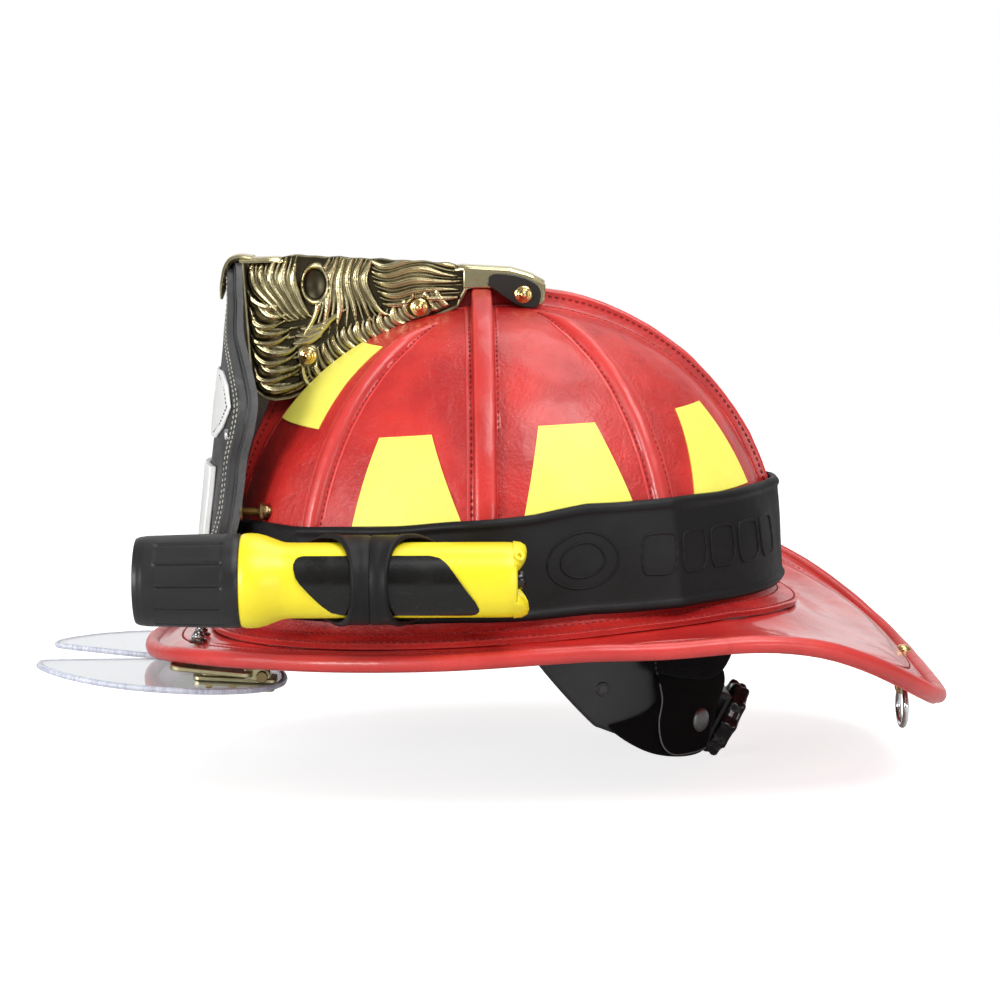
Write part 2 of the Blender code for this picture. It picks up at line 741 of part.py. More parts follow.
def convex_hull(points):
    points = sorted(set(points))

    def half(sequence):
        chain = []
        for p in sequence:
            while len(chain) > 1 and turn(chain[-2], chain[-1], p) <= 0:
                chain.pop()
            chain.append(p)
        return chain[:-1]
    return half(points) + half(list(reversed(points)))


def turn(o, a, b):
    return (a[0] - o[0]) * (b[1] - o[1]) - (a[1] - o[1]) * (b[0] - o[0])


def band_top(x):
    return float(np.interp(x, (-130, -75, -20, 14, 40, 131), (-7, -2.5, 2, 5, 9, 10.5)))


def band_bottom(x):
    return float(np.interp(x, (-130, -75, -20, 14, 40, 131), (-43, -42, -39.5, -38, -36, -34.8)))


def helmet_band():
    rings = []
    for angle in plan_angles(90):
        spot_x = CROWN_X + 118 * math.cos(angle)
        top, low = band_top(spot_x), band_bottom(spot_x)
        section = []
        mid = (low + top) / 2
        for z, grow in ((low, 0), (mid, 0), (top, 0), (top, 2.8), (mid, 2.8), (low, 2.8)):
            r = band_radius(angle, z) + grow
            section.append(Vector((CROWN_X + r * math.cos(angle), r * math.sin(angle), z)))
        rings.append(section)
    band = place("helmet_band", loft("helmet_band", rings, ring_of_rings=True), "rubber")
    combine(band, light_loop(), "UNION")


LOOP_X = -58.0
LOOP_R = 19.1


def light_loop():
    """The strap of the band that bridges over the flashlight."""
    stations = []
    for i in range(13):
        degrees = 62 + (298 - 62) * i / 12
        a = math.radians(degrees)
        waist = abs(degrees - 180) / 118
        half = 8 + 13 * waist ** 1.6
        stations.append((LIGHT_Y + LOOP_R * math.cos(a), LIGHT_Z + LOOP_R * math.sin(a), half))
    first = (-100.0, LIGHT_Z + 12.0, 20.0)
    last = (-100.0, LIGHT_Z - 12.0, 20.0)
    stations = [first] + stations + [last]
    rings = []
    for i, (y, z, half) in enumerate(stations):
        before = stations[max(i - 1, 0)]
        after = stations[min(i + 1, len(stations) - 1)]
        along = Vector((0, after[0] - before[0], after[1] - before[1])).normalized()
        out = Vector((1, 0, 0)).cross(along)
        spot = Vector((LOOP_X, y, z))
        rings.append([spot + Vector((dx, 0, 0)) + out * d
                      for dx, d in ((-half, -1.4), (half, -1.4), (half, 1.4), (-half, 1.4))])
    return place("light_loop", loft("light_loop", rings), None, where=cutters)


def flashlight():
    at = (LIGHT_JOIN, LIGHT_Y, LIGHT_Z)
    length = LIGHT_TAIL - LIGHT_JOIN
    bore = 15.0
    body = [(4.9, length), (13.5, length), (LIGHT_R, length - 4), (LIGHT_R, 17), (19.7, 6), (19.7, 0.3),
            (17.0, 0.3), (17.0, -8), (bore, -8), (bore, length - 8), (4.9, length - 8)]
    turned("light_body", body, "yellow", at, ALONG_X, closed=True, steps=28)
    reach = LIGHT_JOIN - LIGHT_FRONT
    head = [(17.5, reach), (19.0, reach), (LIGHT_HEAD_R, reach - 3), (LIGHT_HEAD_R, 0.0), (17.4, 0.0),
            (17.4, 9.0), (16.4, 11.0), (16.4, 26.0), (18.2, 28.0), (18.2, reach - 3.6), (17.5, reach - 3)]
    turned("light_head", [(r, -z) for r, z in reversed(head)], "black_plastic", at, ALONG_X,
           closed=True, steps=28)
    turned("light_front_lens", [(0, -(reach - 2.6)), (17.0, -(reach - 2.6)), (17.0, -(reach - 0.6)),
                                (0, -(reach - 0.6))], "clear", at, ALONG_X, steps=24)
    cone = [(0, 14), (7, 14), (10, 20), (15, 31), (17.6, 40), (16.6, 40), (13.8, 31), (8.8, 21), (4, 16),
            (0, 16)]
    turned("light_reflector", [(r, -z) for r, z in reversed(cone)], "chrome", at, ALONG_X, steps=20,
           flip=True)
    cells = block("light_cells", (101, 14.2, 26), "black_plastic",
                  (LIGHT_JOIN + 1 + 50.5, LIGHT_Y, LIGHT_Z), bevel=5.0)
    cells.modifiers["round"].limit_method = "ANGLE"
    button = [(0, 1.5), (4.2, 1.0), (4.4, 0), (4.4, -9), (6, -9), (6, -10.5), (0, -10.5)]
    turned("light_switch", button, "black_plastic", (LIGHT_TAIL, LIGHT_Y, LIGHT_Z), ALONG_X, steps=20)
    rings = []
    for x in (-92, -88.5, -85, -81.5, -78, -52, -26, -22, -18, -14, -10):
        low = float(np.interp(x, (-92, -78, -10), (20, -58, -60)))
        high = float(np.interp(x, (-92, -26, -10), (37, 37, -50)))
        inner, outer = [], []
        for k in range(7):
            a = math.radians(180 - (low + (high - low) * k / 6))
            for ring, r in ((inner, LIGHT_R + 0.4), (outer, LIGHT_R + 0.9)):
                ring.append(Vector((x, LIGHT_Y + r * math.cos(a), LIGHT_Z + r * math.sin(a))))
        rings.append(inner + list(reversed(outer)))
    place("light_label", loft("light_label", rings), "black_plastic")


# ---------------------------------------------------------------- suspension

STRAP_TOP = 68.0
LINER_THICK = 10.5


def impact_liner():
    rings = []
    shrink = CROWN_WALL + 1.6
    for degrees in (5, 20, 36, 52, 67, 80, 90):
        a = math.radians(degrees)
        ring = []
        for angle in plan_angles(32):
            ring.append(dome(angle, a, shrink))
        rings.append(ring)
    obj = place("impact_liner", loft("impact_liner", rings, capped=False), "foam")
    solidify(obj, LINER_THICK)


def strap(name, reach, top, turn_angle, half, where=None):
    """A webbing strap that arches over the head between two sides of the headband."""
    rings = []
    along = Vector((math.cos(turn_angle), math.sin(turn_angle), 0))
    across = Vector((-math.sin(turn_angle), math.cos(turn_angle), 0))
    foot = -38.0
    path = [(-reach, -52.0)]
    path += [(-reach * math.cos(a), foot + (top - foot) * math.sin(a))
             for a in np.linspace(0.0, math.pi, 17)]
    path.append((reach, -52.0))
    for i, (u, z) in enumerate(path):
        before, after = path[max(i - 1, 0)], path[min(i + 1, len(path) - 1)]
        direction = Vector((after[0] - before[0], after[1] - before[1])).normalized()
        out = along * -direction.y + Vector((0, 0, direction.x))
        spot = along * u + Vector((0, 0, z))
        rings.append([spot + across * w + out * t
                      for w, t in ((-half, -0.75), (half, -0.75), (half, 0.75), (-half, 0.75))])
    return place(name, loft(name, rings), None if where else "webbing", where=where)


def belt(name, finish, half_x, half_y, thick, first, last, heights, count=33):
    """A band on a plan ellipse from one angle to another; heights gives (low, top) by share."""
    rings = []
    for i in range(count):
        share = i / (count - 1)
        a = math.radians(first + (last - first) * share)
        low, top = heights(share)
        section = []
        for z, grow in ((low, 0), (top, 0), (top, thick), (low, thick)):
            section.append(Vector(((half_x + grow) * math.cos(a), (half_y + grow) * math.sin(a), z)))
        rings.append(section)
    return place(name, loft(name, rings), finish)


def suspension():
    impact_liner()
    straps = strap("crown_straps", 103.0, STRAP_TOP, 0.0, 10.0)
    combine(straps, strap("cross_strap", 85.0, STRAP_TOP, math.pi / 2, 10.0, where=cutters), "UNION")
    turned("crown_pad", [(0, 5), (29, 5), (32, 3.5), (32, 2), (29, 0), (0, 0)], "foam",
           (0, 0, DATUM_DROP), (0, 0, 0), steps=24)
    belt("headband", "black_plastic", 99.6, 81.6, 1.6, 60, 300, lambda s: (-58, -32))
    belt("sweatband", "suede", 96.8, 78.8, 2.4, 62, 298, lambda s: (-60, -34))
    for side, sign in SIDES.items():
        belt("nape_arm_" + side, "black_plastic", 109.0, 90.5, 2.0, sign * 77, sign * 31,
             lambda s: (-60 - 49 * s, -36 - 50 * s), count=11)
        belt("nape_cover_" + side, "suede", 111.6, 93.1, 2.2, sign * 60, sign * 33,
             lambda s: (-92 - 24 * s, -60 - 22 * s), count=9)


# ---------------------------------------------------------------- ratchet

def ratchet_frame(angle, radius, height):
    """A point on the rack's arc, by angle about the arc's axis and height along it."""
    centre = KNOB - OUT * RACK_R
    return centre + (OUT * math.cos(angle) + Vector((0, 1, 0)) * math.sin(angle)) * radius + UP * height


def rack(side):
    """A toothed strap. The left one runs above the pinion and the right one below it."""
    sign = SIDES[side]
    edge = 1 if side == "left" else -1
    pitch = math.pi * MODULE
    pitch_line = MODULE * PINION_TEETH / 2
    tip, root = pitch_line - 0.9, pitch_line + 1.3
    spine = 10.2
    step = pitch / RACK_R
    half_tip = (pitch * 0.5 - TOOTH_SLACK) / 2 - 0.33
    half_root = (pitch * 0.5 - TOOTH_SLACK) / 2 + 0.47
    marks = []
    for k in range(-6, 7):
        centre = k * step
        for offset, level in ((-half_root, root), (-half_tip, tip), (half_tip, tip), (half_root, root)):
            marks.append((centre + offset / RACK_R, level))
    far = [(sign * math.radians(a), root) for a in (22, 30, 38, 46, 54)]
    if sign < 0:
        marks = list(reversed(far)) + marks + [(math.radians(21.5), root)]
    else:
        marks = [(math.radians(-21.5), root)] + marks + far
    rings = []
    for a, level in marks:
        low, high = edge * level, edge * spine
        rings.append([ratchet_frame(a, RACK_R - 1.0, low), ratchet_frame(a, RACK_R + 1.0, low),
                      ratchet_frame(a, RACK_R + 1.0, high), ratchet_frame(a, RACK_R - 1.0, high)])
    place("rack_" + side, loft("rack_" + side, rings), "black_plastic")


def facing_out():
    """Rotation that turns local Z to the knob's axis and local Y to the rack's upward edge."""
    side = UP.cross(OUT)
    return Matrix((side, UP, OUT)).transposed().to_euler()


def pinion():
    pitch_r = MODULE * PINION_TEETH / 2
    tip, root = pitch_r + 0.9, pitch_r - 1.3
    points = []
    for k in range(PINION_TEETH):
        centre = 2 * math.pi * (k + 0.5) / PINION_TEETH + math.pi / 2
        half = (math.pi * MODULE * 0.5 - TOOTH_SLACK) / 2
        for offset, r in ((-half - 0.45, root), (-half + 0.35, tip), (half - 0.35, tip), (half + 0.45, root)):
            a = centre + offset / pitch_r
            points.append((r * math.cos(a), r * math.sin(a)))
    gear = outline_plate("ratchet_pinion", points, 3.4, "black_plastic", KNOB, facing_out())
    shaft = rod("pinion_shaft", 2.3, 9.4, None, KNOB, facing_out(), 16, cutters)
    combine(gear, shaft, "UNION")


def ratchet():
    spin = facing_out()
    housing = block("ratchet_housing", (40, 27, 11.2), "black_plastic", KNOB - OUT * 1.0, spin, bevel=1.5)
    channel = block("rack_channel", (60, 21.4, 7.2), None, KNOB - OUT * 1.0, spin, where=cutters)
    hole = rod("shaft_hole", 2.8, 20, None, KNOB, spin, 16, cutters)
    combine(housing, channel)
    combine(housing, hole)
    rack("left")
    rack("right")
    pinion()
    outline = []
    lobes = 10
    for i in range(lobes * 6):
        a = 2 * math.pi * i / (lobes * 6)
        outline.append(((18.0 + 1.0 * math.cos(lobes * a)) * math.cos(a),
                        (18.0 + 1.0 * math.cos(lobes * a)) * math.sin(a)))
    knob = outline_plate("ratchet_knob", outline, 9.0, "black_plastic", KNOB + OUT * 9.4, spin)
    socket = rod("knob_socket", 2.6, 5.0, None, KNOB + OUT * 4.8, spin, 16, cutters)
    combine(knob, socket)
    rings = []
    for i in range(13):
        a = math.radians(-70 + 140 * i / 12)
        rings.append([ratchet_frame(a, r, h) for r, h in
                      ((RACK_R - 13, -17), (RACK_R - 8.2, -17), (RACK_R - 8.2, 17), (RACK_R - 13, 17))])
    place("nape_pad", loft("nape_pad", rings), "suede")


# ---------------------------------------------------------------- hang ring

def hang_ring(brim_obj):
    count = 24
    rings = []
    for i in range(count):
        a = 2 * math.pi * i / count
        out = Vector((0, math.sin(a), math.cos(a)))
        centre = Vector((RING_X, 0, RING_Z - RING_R)) + out * RING_R
        rings.append([centre + (out * math.cos(b) + Vector((1, 0, 0)) * math.sin(b)) * RING_WIRE
                      for b in plan_angles(6)])
    place("hang_ring", loft("hang_ring", rings, ring_of_rings=True), "chrome")
    profile = [(0, 20.4), (1.8, 20.1), (2.6, 18.9), (2.6, 18.2), (1.6, 18.2), (1.6, 2.2), (0, 2.2)]
    staple = turned("ring_staple", profile, "brass", (RING_X, 0, RING_Z), (0, 0, 0), steps=16)
    loop = []
    for i in range(12):
        a = 2 * math.pi * i / 12
        out = Vector((math.cos(a), 0, math.sin(a)))
        centre = Vector((RING_X, 0, RING_Z)) + out * 2.9
        loop.append([centre + (out * math.cos(b) + Vector((0, 1, 0)) * math.sin(b)) * 0.9
                     for b in plan_angles(6)])
    eye = place("staple_eye", loft("staple_eye", loop, ring_of_rings=True), None, where=cutters)
    combine(staple, eye, "UNION")
    hole = rod("staple_hole", 2.0, 40, None, (RING_X, 0, RING_Z), (0, 0, 0), 12, cutters)
    combine(brim_obj, hole)


def main():
    start_scene()
    crown_shell()
    comb = combs()
    ribs()
    reflectors()
    brim_obj = brim()
    brim_edge_roll()
    front_holder(comb)
    front_piece()
    eye_shields(brim_obj)
    helmet_band()
    flashlight()
    suspension()
    ratchet()
    hang_ring(brim_obj)


main()
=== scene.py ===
"""A traditional leather firefighter helmet: the visual model around its CAD frame.

Helper shapes are worked out in millimetres from the helmet's datum at the brim's level, with
+X towards the tail, +Y to the wearer's right and +Z up; meshes are in metres in the CAD frame.
"""

import json
import math
from functools import partial

import bmesh
import bpy
import numpy as np
from mathutils import Matrix, Vector


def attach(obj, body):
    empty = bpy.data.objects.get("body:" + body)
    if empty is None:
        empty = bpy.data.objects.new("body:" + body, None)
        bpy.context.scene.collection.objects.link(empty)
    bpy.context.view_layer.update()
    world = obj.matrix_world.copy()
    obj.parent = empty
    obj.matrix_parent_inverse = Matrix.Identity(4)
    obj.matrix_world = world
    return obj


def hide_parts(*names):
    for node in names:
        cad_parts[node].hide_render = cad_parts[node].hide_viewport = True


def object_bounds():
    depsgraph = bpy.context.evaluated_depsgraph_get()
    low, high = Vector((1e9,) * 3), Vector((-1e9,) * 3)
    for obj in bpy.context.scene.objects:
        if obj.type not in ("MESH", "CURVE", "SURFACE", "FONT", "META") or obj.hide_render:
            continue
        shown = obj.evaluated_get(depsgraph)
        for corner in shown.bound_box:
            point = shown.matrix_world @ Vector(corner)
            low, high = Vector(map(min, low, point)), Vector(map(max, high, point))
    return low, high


MM = 0.001
DATUM_DROP = 52.0                # the crown pad is this far above the datum
SIDES = {"left": -1, "right": 1}

# crown: a superellipsoid
CROWN_X = 2.0
CROWN_AX = 128.0
CROWN_AY = 104.0
CROWN_Z = -40.0
CROWN_RISE = 133.0
CROWN_FULL = 2.12
CROWN_WALL = 3.0
CROWN_TOP = CROWN_Z + CROWN_RISE
FLANGE = 13.0
SIDE_COMB_X = -9.0
RIB_ANGLES = {"front": 135.0, "rear": 56.0}

# brim
BRIM_X = 20.0
BRIM_FRONT = 185.5
BRIM_REAR = 185.0
BRIM_HALF = 134.0
BRIM_THICK = 3.5
ROLL_R = 3.7
TAIL_TWIST = 0.057
TAIL_ARCH = 85.0

# light
LIGHT_Y = -132.0
LIGHT_Z = -17.6
LIGHT_JOIN = -112.0
LIGHT_FRONT = -156.0
LIGHT_TAIL = 7.2
LIGHT_R = 16.5
LIGHT_HEAD_R = 19.6
LIGHT_GROOVES = 12

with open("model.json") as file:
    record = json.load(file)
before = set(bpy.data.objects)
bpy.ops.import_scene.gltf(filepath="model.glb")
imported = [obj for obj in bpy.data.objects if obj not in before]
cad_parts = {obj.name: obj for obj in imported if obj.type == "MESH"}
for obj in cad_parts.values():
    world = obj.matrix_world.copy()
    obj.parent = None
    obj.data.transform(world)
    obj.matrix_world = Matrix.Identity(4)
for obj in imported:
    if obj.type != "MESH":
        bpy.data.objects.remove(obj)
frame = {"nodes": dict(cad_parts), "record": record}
cad_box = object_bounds()
cad = frame["nodes"]


# ---------------------------------------------------------------- mesh helpers

def metres(points):
    return (np.asarray(points, float) - (0, 0, DATUM_DROP)) * MM


def unit(v):
    v = np.asarray(v, float)
    return v / np.maximum(np.linalg.norm(v, axis=-1, keepdims=True), 1e-9)


def add_piece(name, verts, faces, finish, body="helmet", replaces=(), sharp=40.0, weld=True):
    """A closed mesh from points in millimetres, riding on a body."""
    mesh = bpy.data.meshes.new(name)
    mesh.from_pydata(metres(verts).tolist(), [], [list(map(int, f)) for f in faces])
    bm = bmesh.new()
    bm.from_mesh(mesh)
    if weld:
        bmesh.ops.remove_doubles(bm, verts=bm.verts, dist=2e-6)
    bmesh.ops.recalc_face_normals(bm, faces=bm.faces)
    bm.to_mesh(mesh)
    bm.free()
    mesh.shade_smooth()
    mesh.set_sharp_from_angle(angle=math.radians(sharp))
    obj = bpy.data.objects.new(name, mesh)
    bpy.context.scene.collection.objects.link(obj)
    finish_piece(obj, finish, body, replaces)
    return obj


def finish_piece(obj, finish, body="helmet", replaces=()):
    mat, slot = FINISHES[finish]
    obj.data.materials.clear()
    obj.data.materials.append(mat)
    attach(obj, body)
    if replaces:
        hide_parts(*replaces)


def grid_faces(rows, cols, wrap_rows=False, wrap_cols=False, first=0):
    r = np.arange(rows if wrap_rows else rows - 1)
    c = np.arange(cols if wrap_cols else cols - 1)
    r, c = [a.ravel() for a in np.meshgrid(r, c, indexing="ij")]
    up, over = (r + 1) % rows, (c + 1) % cols
    quads = np.stack([r * cols + c, r * cols + over, up * cols + over, up * cols + c], axis=1)
    return (quads + first).tolist()


def loft(name, grid, finish, wrap_rows=False, cap=True, **more):
    """Rings of points (rows) joined into a tube; the ends are capped unless the rows wrap."""
    rows, cols = grid.shape[:2]
    faces = grid_faces(rows, cols, wrap_rows, wrap_cols=True)
    if cap and not wrap_rows:
        faces += [list(range(cols)), list(range((rows - 1) * cols, rows * cols))]
    return add_piece(name, grid.reshape(-1, 3), faces, finish, **more)


def slab(name, front, back, finish, bevel=0.0, **more):
    """A plate between two grids of points."""
    rows, cols = front.shape[:2]
    count = rows * cols
    faces = grid_faces(rows, cols) + grid_faces(rows, cols, first=count)
    edge = []
    for start in (0, (rows - 1) * cols):
        edge += [(start + i, start + i + 1) for i in range(cols - 1)]
    for start in (0, cols - 1):
        edge += [(start + i * cols, start + (i + 1) * cols) for i in range(rows - 1)]
    faces += [[a, b, b + count, a + count] for a, b in edge]
    verts = np.concatenate([front.reshape(-1, 3), back.reshape(-1, 3)])
    obj = add_piece(name, verts, faces, finish, **more)
    if bevel:
        round_edges(obj, bevel)
    return obj


def round_edges(obj, width):
    """Soften every edge that bends by more than 35 degrees."""
    mod = obj.modifiers.new("round", "BEVEL")
    mod.width = width * MM
    mod.segments = 2
    mod.limit_method = "ANGLE"
    mod.angle_limit = math.radians(35)


def outline_plate(name, outline, place, thick, finish, bevel=0.0, **more):
    """A flat plate from an outline (u, v) that place(u, v, w) puts in space."""
    front = [place(u, v, thick / 2) for u, v in outline]
    back = [place(u, v, -thick / 2) for u, v in outline]
    n = len(outline)
    faces = [list(range(n)), list(range(n, 2 * n))]
    faces += [[i, (i + 1) % n, n + (i + 1) % n, n + i] for i in range(n)]
    obj = add_piece(name, front + back, faces, finish, **more)
    if bevel:
        round_edges(obj, bevel)
    return obj


def path_frames(path, closed=False, up=(0, 0, 1)):
    """Directions along, across and out for each point of a path."""
    path = np.asarray(path, float)
    if closed:
        along = np.roll(path, -1, 0) - np.roll(path, 1, 0)
    else:
        along = np.gradient(path, axis=0)
    along = unit(along)
    up = np.broadcast_to(np.asarray(up, float), path.shape)
    across = unit(np.cross(along, up))
    return along, across, np.cross(across, along)


def tube(name, path, radius, finish, closed=False, sides=12, up=(0, 0, 1), **more):
    path = np.asarray(path, float)
    _, across, out = path_frames(path, closed, up)
    a = np.linspace(0, 2 * math.pi, sides, endpoint=False)
    radius = np.broadcast_to(np.asarray(radius, float), (len(path),))[:, None, None]
    grid = path[:, None] + radius * (across[:, None] * np.cos(a)[:, None]
                                     + out[:, None] * np.sin(a)[:, None])
    return loft(name, grid, finish, wrap_rows=closed, **more)


def revolve(name, profile, origin, axis, finish, steps=32, wave=None, **more):
    """A turned shape: profile points are (radius, distance along the axis)."""
    axis = unit(axis)
    side = unit(np.cross(axis, (0, 0, 1) if abs(axis[2]) < 0.9 else (1, 0, 0)))
    other = np.cross(axis, side)
    a = np.linspace(0, 2 * math.pi, steps, endpoint=False)
    profile = np.asarray(profile, float)
    radius = np.broadcast_to(profile[:, :1], (len(profile), steps))
    if wave is not None:
        radius = radius + wave(radius, profile[:, 1:2], a[None])
    ring = side * np.cos(a)[:, None] + other * np.sin(a)[:, None]
    grid = np.asarray(origin, float) + radius[..., None] * ring + profile[:, 1][:, None, None] * axis
    closed = bool(profile[0, 0] > 0 and profile[-1, 0] > 0)
    return loft(name, grid, finish, wrap_rows=closed, cap=False, **more)


def smooth_profile(points, count=8):
    """Catmull-Rom points through a few profile points."""
    p = np.asarray(points, float)
    p = np.concatenate([p[:1] * 2 - p[1:2], p, p[-1:] * 2 - p[-2:-1]])
    out = []
    for i in range(1, len(p) - 2):
        for t in np.linspace(0, 1, count, endpoint=False):
            a, b, c, d = p[i - 1:i + 3]
            out.append(0.5 * (2 * b + (c - a) * t + (2 * a - 5 * b + 4 * c - d) * t ** 2
                              + (3 * b - a - 3 * c + d) * t ** 3))
    return np.array(out + [p[-2]])


def resample(path, step, closed=False):
    path = np.asarray(path, float)
    if closed:
        path = np.concatenate([path, path[:1]])
    length = np.concatenate([[0], np.cumsum(np.linalg.norm(np.diff(path, axis=0), axis=1))])
    count = max(2, int(round(length[-1] / step)) + 1)
    at = np.linspace(0, length[-1], count)
    out = np.stack([np.interp(at, length, path[:, k]) for k in range(path.shape[1])], axis=1)
    return out[:-1] if closed else out


def stitches(name, path, normals, finish, pitch=3.2, length=2.2, radius=0.42, closed=False):
    """A row of short threads along a path, each a capsule sunk into the leather."""
    both = resample(np.concatenate([path, normals], axis=1), pitch, closed)
    spots, out = both[:, :3], unit(both[:, 3:])
    along, across, up = path_frames(spots, closed, out)
    sides = 6
    a = np.linspace(0, 2 * math.pi, sides, endpoint=False)
    rings = [(-0.5, 0.25), (-0.36, 0.9), (0.0, 1.15), (0.36, 0.9), (0.5, 0.25)]
    last = (len(rings) - 1) * sides
    verts, faces = [], []
    for spot, d, c, u in zip(spots, along, across, up):
        first = len(verts)
        for t, r in rings:
            middle = spot + d * t * length - u * radius * 0.55 * (2 * t) ** 2
            for b in a:
                verts.append(middle + (c * math.cos(b) + u * math.sin(b)) * radius * r)
        faces += grid_faces(len(rings), sides, wrap_cols=True, first=first)
        faces += [list(range(end, end + sides)) for end in (first, first + last)]
    add_piece(name, np.array(verts), faces, finish, weld=False, sharp=80)


def ripple(points, wavelength, seed):
    """A smooth, seeded, random-looking field of about unit height."""
    waves = 9
    rng = np.random.default_rng(seed)
    points = np.asarray(points, float)
    total = np.zeros(points.shape[:-1])
    for _ in range(waves):
        direction = unit(rng.normal(size=3)) * (2 * math.pi / (wavelength * rng.uniform(0.7, 1.5)))
        total += np.sin(points @ direction + rng.uniform(0, 2 * math.pi))
    return total / math.sqrt(waves)


# ---------------------------------------------------------------- materials

def feed(node, inputs):
    """Link or set a node's inputs; a colour may leave out its alpha."""
    for key, value in inputs.items():
        socket = node.inputs[key]
        if isinstance(value, bpy.types.NodeSocket):
            node.id_data.links.new(value, socket)
        elif socket.type == "RGBA":
            socket.default_value = (*value, 1)
        else:
            socket.default_value = value


def add_node(tree, kind, inputs=None, **settings):
    node = tree.nodes.new(kind)
    for key, value in settings.items():
        setattr(node, key, value)
    feed(node, inputs or {})
    return node


def start_material(name):
    mat = bpy.data.materials.new(name)
    mat.use_nodes = True
    tree = mat.node_tree
    return mat, tree, tree.nodes["Principled BSDF"]


def coordinates(tree, stretch=(1, 1, 1)):
    source = add_node(tree, "ShaderNodeTexCoord").outputs["Object"]
    return add_node(tree, "ShaderNodeMapping", {"Vector": source, "Scale": stretch}).outputs[0]


def noise(tree, where, size, detail=4.0, rough=0.5, distortion=0.0):
    """Noise whose features are about size millimetres across."""
    return add_node(tree, "ShaderNodeTexNoise", {
        "Vector": where, "Scale": 1 / (size * MM), "Detail": detail, "Roughness": rough,
        "Distortion": distortion}).outputs["Fac"]


def cells(tree, where, size, feature="F1"):
    return add_node(tree, "ShaderNodeTexVoronoi", {"Vector": where, "Scale": 1 / (size * MM)},
                    feature=feature).outputs["Distance"]


def ramp(tree, value, low, high, out_low=0.0, out_high=1.0):
    return add_node(tree, "ShaderNodeMapRange", {
        "Value": value, "From Min": low, "From Max": high, "To Min": out_low,
        "To Max": out_high}).outputs["Result"]


def mix(tree, share, a, b):
    """Blend two colours (or colour sockets) by a share."""
    return add_node(tree, "ShaderNodeMix", {0: share, 6: a, 7: b}, data_type="RGBA").outputs[2]


def maths(tree, how, a, b=0.0):
    return add_node(tree, "ShaderNodeMath", {0: a, 1: b}, operation=how).outputs[0]


def bump(tree, height, depth):
    """Normals from a height socket of about 0 to 1 that stands for depth millimetres."""
    return add_node(tree, "ShaderNodeBump", {
        "Height": height, "Distance": depth * MM, "Strength": 1.0}).outputs["Normal"]


def shades(colour, share):
    return tuple(c * share for c in colour)


def worn_edges(tree, low=0.51, high=0.56):
    """1 on sharp outer edges, 0 elsewhere."""
    point = add_node(tree, "ShaderNodeNewGeometry").outputs["Pointiness"]
    return ramp(tree, point, low, high)


def leather(name, colour, deep, light, roughness, coat, grain=1.5, depth=0.42, wrinkle=9.0):
    mat, tree, bsdf = start_material(name)
    where = coordinates(tree)
    cloud = noise(tree, where, 38, 3.0)
    fine = noise(tree, where, wrinkle, 7.0, 0.62, 1.3)
    pebble = cells(tree, where, grain)
    colours = mix(tree, ramp(tree, cloud, 0.35, 0.65), deep, colour)
    # Painted shade: the colour turns to the deep tone in the wrinkle creases, where the fine noise that
    # raises the bump is low.
    colours = mix(tree, ramp(tree, fine, 0.42, 0.30), colours, deep)
    colours = mix(tree, maths(tree, "MULTIPLY", worn_edges(tree), 0.55), colours, light)
    height = maths(tree, "ADD", maths(tree, "MULTIPLY", fine, 1.6),
                   maths(tree, "MULTIPLY", pebble, -0.30))
    feed(bsdf, {"Base Color": colours,
                "Roughness": ramp(tree, fine, 0.3, 0.7, roughness + 0.10, roughness - 0.06),
                "Normal": bump(tree, height, depth), "Specular IOR Level": 0.5,
                "Coat Weight": coat, "Coat Roughness": 0.13})
    return mat


def moulded(name, colour, roughness, grain=0.5, depth=0.05, spread=0.08, shade=0.8, gloss=0.5):
    """Moulded plastic or rubber with a fine texture and faint handling marks."""
    mat, tree, bsdf = start_material(name)
    where = coordinates(tree)
    marks = noise(tree, where, 22, 6.0, 0.6)
    colours = mix(tree, ramp(tree, marks, 0.35, 0.65), shades(colour, shade), colour)
    feed(bsdf, {"Base Color": colours, "Specular IOR Level": gloss,
                "Roughness": ramp(tree, marks, 0.3, 0.7, roughness + spread, roughness - spread),
                "Normal": bump(tree, noise(tree, where, grain, 2.0), depth)})
    return mat


def bands(tree, where, scale, direction, distortion=0.0):
    return add_node(tree, "ShaderNodeTexWave", {
        "Vector": where, "Scale": scale, "Distortion": distortion},
        bands_direction=direction).outputs["Fac"]


def thread(name, colour):
    mat, tree, bsdf = start_material(name)
    twist = bands(tree, coordinates(tree), 900.0, "DIAGONAL", 1.0)
    feed(bsdf, {"Base Color": mix(tree, twist, shades(colour, 0.55), colour), "Roughness": 0.7,
                "Normal": bump(tree, twist, 0.12)})
    return mat


def fabric(name, colour, weave=1.0, fuzz=0.0):
    """Woven threads, or a soft nap where fuzz is near 1."""
    mat, tree, bsdf = start_material(name)
    where = coordinates(tree)
    warp, weft = (bands(tree, where, 160 / weave, direction) for direction in "XZ")
    nap = noise(tree, where, 0.6, 5.0, 0.7)
    woven = maths(tree, "ADD", maths(tree, "MULTIPLY", maths(tree, "MAXIMUM", warp, weft), 1 - fuzz),
                  maths(tree, "MULTIPLY", nap, 0.4 + fuzz))
    colours = mix(tree, ramp(tree, woven, 0.2, 1.1), shades(colour, 0.45), colour)
    feed(bsdf, {"Base Color": colours, "Roughness": 0.95, "Specular IOR Level": 0.08,
                "Sheen Weight": 0.012, "Sheen Roughness": 0.5, "Normal": bump(tree, woven, 0.35)})
    return mat


